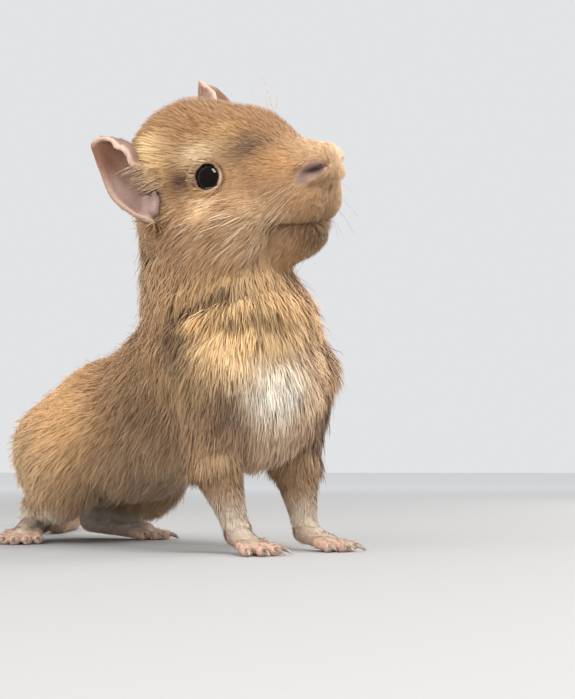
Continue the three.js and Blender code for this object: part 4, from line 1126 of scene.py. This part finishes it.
# shade: painted self-shade along each tuft, darker at the root and a little lighter at the tip
LONG = dict(ts=[0.0, 0.36, 0.72, 1.0], wid=[0.85, 1.0, 0.66], shade=[0.86, 0.86, 0.95, 0.95, 1.01, 1.01, 1.06], tri=TRI7, patch=PATCH7, most=39000)
FINE = dict(ts=[0.0, 0.52, 1.0], wid=[0.9, 0.95], shade=[0.89, 0.89, 0.98, 0.98, 1.04], tri=TRI5, patch=PATCH5, most=64000)


def tufts(k, kind):
    """Vertices, normals, colours and unwrap of the tufts k."""
    nv = len(kind["shade"])
    pts = [centre_line(k, t) for t in kind["ts"]]
    out = np.zeros((len(k), nv, 3))
    for i, w in enumerate(kind["wid"]):
        half = bvec[k] * (width[k] * w / 2)[:, None]
        out[:, 2 * i] = pts[i] - half
        out[:, 2 * i + 1] = pts[i] + half
    out[:, -1] = pts[-1]
    out[:, :, 2] = np.maximum(out[:, :, 2], 0.06)
    G = unit(np.cross(out[:, 1] - out[:, 0], out[:, -1] - out[:, 0]))
    flip = (G * RN[k]).sum(1) < 0
    for i in range(len(kind["wid"])):
        a, b = out[flip, 2 * i].copy(), out[flip, 2 * i + 1].copy()
        out[flip, 2 * i], out[flip, 2 * i + 1] = b, a
    G[flip] *= -1
    nrm = np.zeros_like(out)
    for i in range(nv):
        t = kind["ts"][min(i // 2, len(kind["ts"]) - 1)]
        nrm[:, i] = unit(RN[k] * 0.72 + G * 0.28 + lock_tilt[k] + RD[k] * (0.10 * t))
    col = np.clip(base[k][:, None, :] * np.array(kind["shade"])[None, :, None], 0, 0.95)
    uv = uvR[k][:, None, :] + kind["patch"][None]
    return out, nrm, col, uv


# ------------------------------------------------------------------ materials
def material(name):
    m = bpy.data.materials.new(name)
    m.use_nodes = True
    nt = m.node_tree
    bsdf = nt.nodes["Principled BSDF"]
    return m, nt, bsdf


def coat_material(name):
    m, nt, b = material(name)
    at = nt.nodes.new("ShaderNodeAttribute")
    at.attribute_name = "Col"
    no = nt.nodes.new("ShaderNodeTexNoise")
    tc = nt.nodes.new("ShaderNodeTexCoord")
    nt.links.new(tc.outputs["Object"], no.inputs["Vector"])
    no.inputs["Scale"].default_value = 900
    no.inputs["Detail"].default_value = 3
    ramp = nt.nodes.new("ShaderNodeMapRange")
    nt.links.new(no.outputs["Fac"], ramp.inputs["Value"])
    ramp.inputs["To Min"].default_value = 0.92
    ramp.inputs["To Max"].default_value = 1.08
    mul = nt.nodes.new("ShaderNodeVectorMath")
    mul.operation = "SCALE"
    nt.links.new(at.outputs["Color"], mul.inputs[0])
    nt.links.new(ramp.outputs["Result"], mul.inputs["Scale"])
    nt.links.new(mul.outputs["Vector"], b.inputs["Base Color"])
    b.inputs["Roughness"].default_value = 0.62
    b.inputs["Specular IOR Level"].default_value = 0.28
    b.inputs["Sheen Weight"].default_value = 0.22
    b.inputs["Sheen Roughness"].default_value = 0.45
    return m


def skin_material():
    m, nt, b = material("skin")
    at = nt.nodes.new("ShaderNodeAttribute")
    at.attribute_name = "Col"
    tc = nt.nodes.new("ShaderNodeTexCoord")
    no = nt.nodes.new("ShaderNodeTexNoise")
    no.inputs["Scale"].default_value = 1400
    no.inputs["Detail"].default_value = 5
    nt.links.new(tc.outputs["Object"], no.inputs["Vector"])
    vo = nt.nodes.new("ShaderNodeTexVoronoi")
    vo.inputs["Scale"].default_value = 2600
    nt.links.new(tc.outputs["Object"], vo.inputs["Vector"])
    mr = nt.nodes.new("ShaderNodeMapRange")
    nt.links.new(no.outputs["Fac"], mr.inputs["Value"])
    mr.inputs["To Min"].default_value = 0.82
    mr.inputs["To Max"].default_value = 1.16
    mul = nt.nodes.new("ShaderNodeVectorMath")
    mul.operation = "SCALE"
    nt.links.new(at.outputs["Color"], mul.inputs[0])
    nt.links.new(mr.outputs["Result"], mul.inputs["Scale"])
    nt.links.new(mul.outputs["Vector"], b.inputs["Base Color"])
    add = nt.nodes.new("ShaderNodeMath")
    add.operation = "MULTIPLY_ADD"
    nt.links.new(vo.outputs["Distance"], add.inputs[0])
    add.inputs[1].default_value = 0.8
    nt.links.new(no.outputs["Fac"], add.inputs[2])
    bu = nt.nodes.new("ShaderNodeBump")
    bu.inputs["Strength"].default_value = 0.35
    bu.inputs["Distance"].default_value = 0.0002
    nt.links.new(add.outputs[0], bu.inputs["Height"])
    nt.links.new(bu.outputs["Normal"], b.inputs["Normal"])
    b.inputs["Roughness"].default_value = 0.55
    b.inputs["Subsurface Weight"].default_value = 0.12
    b.inputs["Subsurface Radius"].default_value = (0.9, 0.35, 0.2)
    b.inputs["Subsurface Scale"].default_value = 0.0012
    return m


def eye_material():
    m, nt, b = material("eye")
    tc = nt.nodes.new("ShaderNodeTexCoord")
    no = nt.nodes.new("ShaderNodeTexNoise")
    no.inputs["Scale"].default_value = 600
    nt.links.new(tc.outputs["Object"], no.inputs["Vector"])
    cr = nt.nodes.new("ShaderNodeValToRGB")
    cr.color_ramp.elements[0].color = (0.002, 0.0015, 0.0015, 1)
    cr.color_ramp.elements[1].color = (0.010, 0.006, 0.005, 1)
    nt.links.new(no.outputs["Fac"], cr.inputs["Fac"])
    nt.links.new(cr.outputs["Color"], b.inputs["Base Color"])
    b.inputs["Roughness"].default_value = 0.06
    b.inputs["Specular IOR Level"].default_value = 0.75
    return m


def horn_material(name, c0, c1, rough=0.4):
    m, nt, b = material(name)
    tc = nt.nodes.new("ShaderNodeTexCoord")
    no = nt.nodes.new("ShaderNodeTexNoise")
    no.inputs["Scale"].default_value = 700
    nt.links.new(tc.outputs["Object"], no.inputs["Vector"])
    cr = nt.nodes.new("ShaderNodeValToRGB")
    cr.color_ramp.elements[0].position = 0.35
    cr.color_ramp.elements[0].color = (*c0, 1)
    cr.color_ramp.elements[1].position = 0.7
    cr.color_ramp.elements[1].color = (*c1, 1)
    nt.links.new(no.outputs["Fac"], cr.inputs["Fac"])
    nt.links.new(cr.outputs["Color"], b.inputs["Base Color"])
    b.inputs["Roughness"].default_value = rough
    return m


M_COAT = coat_material("coat")
M_SKIN = skin_material()
M_EYE = eye_material()
M_CLAW = horn_material("claw", lin(120, 98, 84), lin(196, 176, 158), 0.35)
M_FRINGE = horn_material("ear_hair", lin(176, 142, 110), lin(232, 204, 168), 0.6)
M_HAIR = horn_material("whisker", lin(168, 136, 104), lin(224, 200, 168), 0.5)

skin.data.materials.append(M_SKIN)
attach(skin, "root")
FLESH = [n for n in frame["nodes"] if not n.startswith("eye")]
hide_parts(*FLESH)

# ------------------------------------------------------------------ coat pieces
GROUPS = {
    "head": ["head"], "neck": ["neck"], "trunk": ["trunk"], "legs": ["arm_l", "arm_r", "leg_l", "leg_r"], "tail": ["tail"], "ears": ["ear_l", "ear_r"],
}
n_tufts = n_tri = 0
for g, parts in GROUPS.items():
    mine = np.isin(partR, [PARTS.index(p) for p in parts])
    for tag, kind, sel in (("a", LONG, (RS[:, 0] >= 3.7) | long_pale), ("b", FINE, (RS[:, 0] < 3.7) & ~long_pale)):
        ids = np.nonzero(mine & sel)[0]
        if not len(ids):
            continue
        order = ids[np.argsort(RP[ids, 0], kind="stable")]
        for c, chunk in enumerate(np.array_split(order, max(1, math.ceil(len(order) / kind["most"])))):
            vv, nn, cc, uv = tufts(chunk, kind)
            nv = vv.shape[1]
            ff = (np.arange(len(chunk))[:, None, None] * nv + kind["tri"][None]).reshape(-1, 3)
            ob = mesh_object("coat_%s_%s%d" % (g, tag, c + 1), world(vv.reshape(-1, 3)), ff, True)
            color_layer(ob.data, "Col", cc.reshape(-1, 3))
            layer = ob.data.uv_layers.new(name="OFBake")
            layer.data.foreach_set("uv", uv.reshape(-1, 2)[ff.ravel()].astype(np.float32).ravel())
            ob.data.normals_split_custom_set_from_vertices(nn.reshape(-1, 3).astype(np.float32))
            ob.data.materials.append(M_COAT)
            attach(ob, "root")
            n_tufts += len(chunk)
            n_tri += len(ff)
say("coat", n_tufts, "tufts", n_tri, "triangles")


# ------------------------------------------------------------------ eyes
def eye_mesh(side):
    name = "left" if side > 0 else "right"
    me = bpy.data.meshes.new("eyeball_" + name)
    bm = bmesh.new()
    bmesh.ops.create_uvsphere(bm, u_segments=48, v_segments=32, radius=1)
    n = eye_out(side)
    Rm = Vector((0, 0, 1)).rotation_difference(Vector(HEAD_R @ n)).to_matrix()
    c = from_head(EYE_C * A3(1, side, 1))
    for v in bm.verts:
        p = np.array(v.co)
        cornea = 1 + 0.045 * math.exp(-((1 - p[2]) / 0.22) ** 2)
        q = np.array(Rm @ Vector(p * cornea)) * (EYE_R - 0.05)
        v.co = Vector(world(c + q))
    for f in bm.faces:
        f.smooth = True
    bm.to_mesh(me)
    bm.free()
    ob = bpy.data.objects.new("eyeball_" + name, me)
    bpy.context.scene.collection.objects.link(ob)
    me.materials.append(M_EYE)
    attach(ob, "root")
    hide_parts("eye_" + name)
    return ob


for s_ in (1, -1):
    eye_mesh(s_)


# ------------------------------------------------------------------ rods: claws and long hairs
def rods(name, paths, sides, mat):
    """Joined tapered rods; each path is (points, radii)."""
    VV, FF, off = [], [], 0
    for P, r in paths:
        P = np.asarray(P, float)
        T = unit(np.gradient(P, axis=0))
        ref = A3(0, 0, 1) if abs(T[0, 2]) < 0.9 else A3(1, 0, 0)
        U = unit(np.cross(T, ref))
        W = np.cross(T, U)
        ang = np.arange(sides) * 2 * math.pi / sides
        ring = P[:, None, :] + (U[:, None, :] * np.cos(ang)[None, :, None] + W[:, None, :] * np.sin(ang)[None, :, None]) * np.asarray(r)[:, None, None]
        n = len(P)
        VV.append(ring.reshape(-1, 3))
        a = (np.arange(n - 1)[:, None] * sides + np.arange(sides)[None]).ravel()
        b = (np.arange(n - 1)[:, None] * sides + (np.arange(sides)[None] + 1) % sides).ravel()
        FF.append(np.stack([a, a + sides, b + sides, b], 1) + off)
        cap = np.arange(sides)
        VV.append(np.stack([P[0], P[-1]]))
        k0, k1 = off + n * sides, off + n * sides + 1
        nx = (cap + 1) % sides
        FF.append(np.stack([np.full(sides, k0), off + cap, off + nx, off + nx], 1))
        FF.append(np.stack([np.full(sides, k1), off + (n - 1) * sides + nx, off + (n - 1) * sides + cap, off + (n - 1) * sides + cap], 1))
        off += n * sides + 2
    VV, FF = np.concatenate(VV), np.concatenate(FF)
    tri = np.concatenate([FF[:, [0, 1, 2]], FF[:, [0, 2, 3]]])
    tri = tri[(tri[:, 0] != tri[:, 1]) & (tri[:, 1] != tri[:, 2]) & (tri[:, 0] != tri[:, 2])]
    ob = mesh_object(name, world(VV), tri)
    ob.data.materials.append(mat)
    bm = bmesh.new()
    bm.from_mesh(ob.data)
    bmesh.ops.recalc_face_normals(bm, faces=bm.faces)
    bm.to_mesh(ob.data)
    bm.free()
    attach(ob, "root")
    return ob


for fname, cones in FEET.items():
    paths = []
    for c in cones:
        if not c["toe"]:
            continue
        tip, d = c["tip"], c["dir"]
        t = np.linspace(0, 1, 7)
        z0 = c["b"][2] + 0.35
        xy = tip[None] + d[None] * (0.2 + t * (CLAW + 0.6))[:, None]
        z = z0 + 0.25 * np.sin(t * math.pi) - (z0 - 0.35) * t ** 1.8
        r = 0.62 * (1 - t) ** 0.7 + 0.07
        paths.append((np.column_stack([xy, z]), r))
    rods("claws_" + fname, paths, 8, M_CLAW)

# whiskers and brow hairs
paths = []
wr = np.random.default_rng(77)


def whisker(start, d, length, droop, r0):
    t = np.linspace(0, 1, 10)
    d = unit(d)
    bend = unit(np.cross(d, [0.2, 0.1, 1.0])) * wr.normal(0, 0.05)
    P = np.asarray(start)[None] + d[None] * (length * t)[:, None] + bend[None] * (length * t ** 2)[:, None]
    P[:, 2] -= droop * length * t ** 2
    P[:, 2] = np.maximum(P[:, 2], 1.0)
    paths.append((P, r0 * (1 - t) ** 0.8 + 0.022))


def surface_from(q, d, reach=14):
    """The skin's point along d from q (head frame in and out: local mm)."""
    p = from_head(q)
    dd = HEAD_R @ unit(d)
    s = np.linspace(0, reach, 60)
    val = skin_distance(p[None] + dd[None] * s[:, None], False)
    k = int(np.argmax(val > 0)) if (val > 0).any() else 0
    return p + dd * s[k]


for side in (1, -1):
    for row in range(3):
        for k in range(3):
            q = A3(21.0 + 2.1 * k - 0.8 * row, side * 2.0, -1.5 - 2.4 * row)
            st = surface_from(q, A3(0.12, side, -0.05))
            d = A3(-0.30 + 0.14 * k - 0.08 * row, side * (0.95 + 0.1 * k), -0.22 - 0.22 * row + wr.normal(0, 0.05))
            whisker(st - (HEAD_R @ unit(d)) * 0.4, HEAD_R @ unit(d), wr.uniform(14, 20) * (1.1 - 0.10 * k), 0.12, 0.034)
    for k in range(2):
        st = surface_from(A3(8 + 2.0 * k, side * 6.0, 9.0), A3(0.1, side * 0.55, 1))
        whisker(st, HEAD_R @ unit(A3(-0.25 + 0.15 * k, side * (0.25 + 0.12 * k), 1.0)), 12 - 2 * k, 0.0, 0.036)
# two long ones rise from the far side of the muzzle
for q, d, ln_ in ((A3(16.5, 2.5, 10.0), A3(-0.30, 0.30, 1.0), 19.0), (A3(15.0, 4.0, 9.0), A3(0.05, 0.45, 1.0), 12.5)):
    whisker(surface_from(q, A3(0, 0.25, 1)), HEAD_R @ unit(d), ln_, 0.0, 0.055)
rods("whiskers", paths, 4, M_HAIR)
# sparse hairs that cross the mouth of each ear from its front edge
for ename, e in EARS.items():
    B, T, N, S = ear_frame(e)
    paths = []
    for k in range(40):
        t = (k + wr.uniform(-0.3, 0.3)) / 39
        st = B + T * (3.0 + 8.6 * t) + S * e["roll"] * (0.9 + 0.9 * t) + N * (5.6 - 1.2 * t + wr.normal(0, 0.3))
        d = HEAD_R @ unit(T * (0.50 + wr.normal(0, 0.10)) - S * e["roll"] * (0.74 + wr.normal(0, 0.10)) + N * wr.uniform(0.0, 0.25))
        whisker(from_head(st[None])[0] - d * 1.4, d, wr.uniform(4.8, 8.2), 0.05, wr.uniform(0.04, 0.065))
    rods("ear_hairs_" + ename, paths, 3, M_FRINGE)
say("whiskers")

# ------------------------------------------------------------------ stage, light and camera
bpy.ops.mesh.primitive_plane_add(size=60, location=(0, 0, 0))
floor = bpy.context.object
floor.name = "floor"
fm, fnt, fb = material("floor")
# pale, and a little lighter far off, where less light reaches it
fg = fnt.nodes.new("ShaderNodeNewGeometry")
fl = fnt.nodes.new("ShaderNodeVectorMath")
fl.operation = "LENGTH"
fnt.links.new(fg.outputs["Position"], fl.inputs[0])
fr = fnt.nodes.new("ShaderNodeMapRange")
fr.interpolation_type = "SMOOTHSTEP"
fr.inputs["From Min"].default_value = 0.15
fr.inputs["From Max"].default_value = 1.4
fr.inputs["To Min"].default_value = 0.44
fr.inputs["To Max"].default_value = 0.93
fnt.links.new(fl.outputs["Value"], fr.inputs["Value"])
fnt.links.new(fr.outputs["Result"], fb.inputs["Base Color"])
fb.inputs["Roughness"].default_value = 0.8
floor.data.materials.append(fm)
floor.visible_glossy = False

world_ = bpy.data.worlds.new("studio")
bpy.context.scene.world = world_
world_.use_nodes = True
world_.node_tree.nodes["Background"].inputs["Color"].default_value = (0.80, 0.81, 0.83, 1)
world_.node_tree.nodes["Background"].inputs["Strength"].default_value = 0.95
dim = world_.node_tree.nodes.new("ShaderNodeBackground")
dim.inputs["Color"].default_value = (0.10, 0.10, 0.11, 1)
path = world_.node_tree.nodes.new("ShaderNodeLightPath")
both = world_.node_tree.nodes.new("ShaderNodeMixShader")
world_.node_tree.links.new(path.outputs["Is Glossy Ray"], both.inputs["Fac"])
world_.node_tree.links.new(world_.node_tree.nodes["Background"].outputs["Background"], both.inputs[1])
world_.node_tree.links.new(dim.outputs["Background"], both.inputs[2])
world_.node_tree.links.new(both.outputs["Shader"], world_.node_tree.nodes["World Output"].inputs["Surface"])

AZ, PITCH, F_PX = math.radians(47), math.atan((471.4 - 349.5) / 1410.0), 1410.0
right = A3(math.cos(AZ), math.sin(AZ), 0)
away = A3(-math.sin(AZ), math.cos(AZ), 0)
upv = A3(0, 0, 1)
C = 13.6 * right - 365.0 * away
C[2] = 20.0
fwd = away * math.cos(PITCH) + upv * math.sin(PITCH)
cup = upv * math.cos(PITCH) - away * math.sin(PITCH)
cam = bpy.data.cameras.new("camera")
co = bpy.data.objects.new("camera", cam)
bpy.context.scene.collection.objects.link(co)
Mx = Matrix(((right[0], cup[0], -fwd[0]), (right[1], cup[1], -fwd[1]), (right[2], cup[2], -fwd[2])))
co.matrix_world = Matrix.Translation(Vector(world(C))) @ Mx.to_4x4()
cam.sensor_width = 36
cam.lens = F_PX * 36 / 699
cam.clip_start = 0.01
cam.clip_end = 20
bpy.context.scene.camera = co


def area(name, at, target, size, power, color=(1, 1, 1)):
    li = bpy.data.lights.new(name, "AREA")
    li.energy, li.size, li.color = power, size, color
    ob = bpy.data.objects.new(name, li)
    bpy.context.scene.collection.objects.link(ob)
    at, target = Vector(world(at)), Vector(world(target))
    ob.location = at
    ob.rotation_euler = (target - at).to_track_quat("-Z", "Y").to_euler()
    return ob


mid = A3(-5, -5, 60)
area("key", mid + 290 * right - 320 * away + 600 * upv, mid, 0.40, 4.4, (1.0, 0.98, 0.95))
area("window", mid + 520 * right + 330 * away + 330 * upv, mid, 0.38, 2.6, (1.0, 0.96, 0.90))
area("fill", mid - 480 * right - 560 * away + 230 * upv, mid, 0.9, 5.2, (1.0, 0.98, 0.95)).visible_glossy = False

bpy.context.scene.view_settings.view_transform = "Standard"

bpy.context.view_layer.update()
say("done")
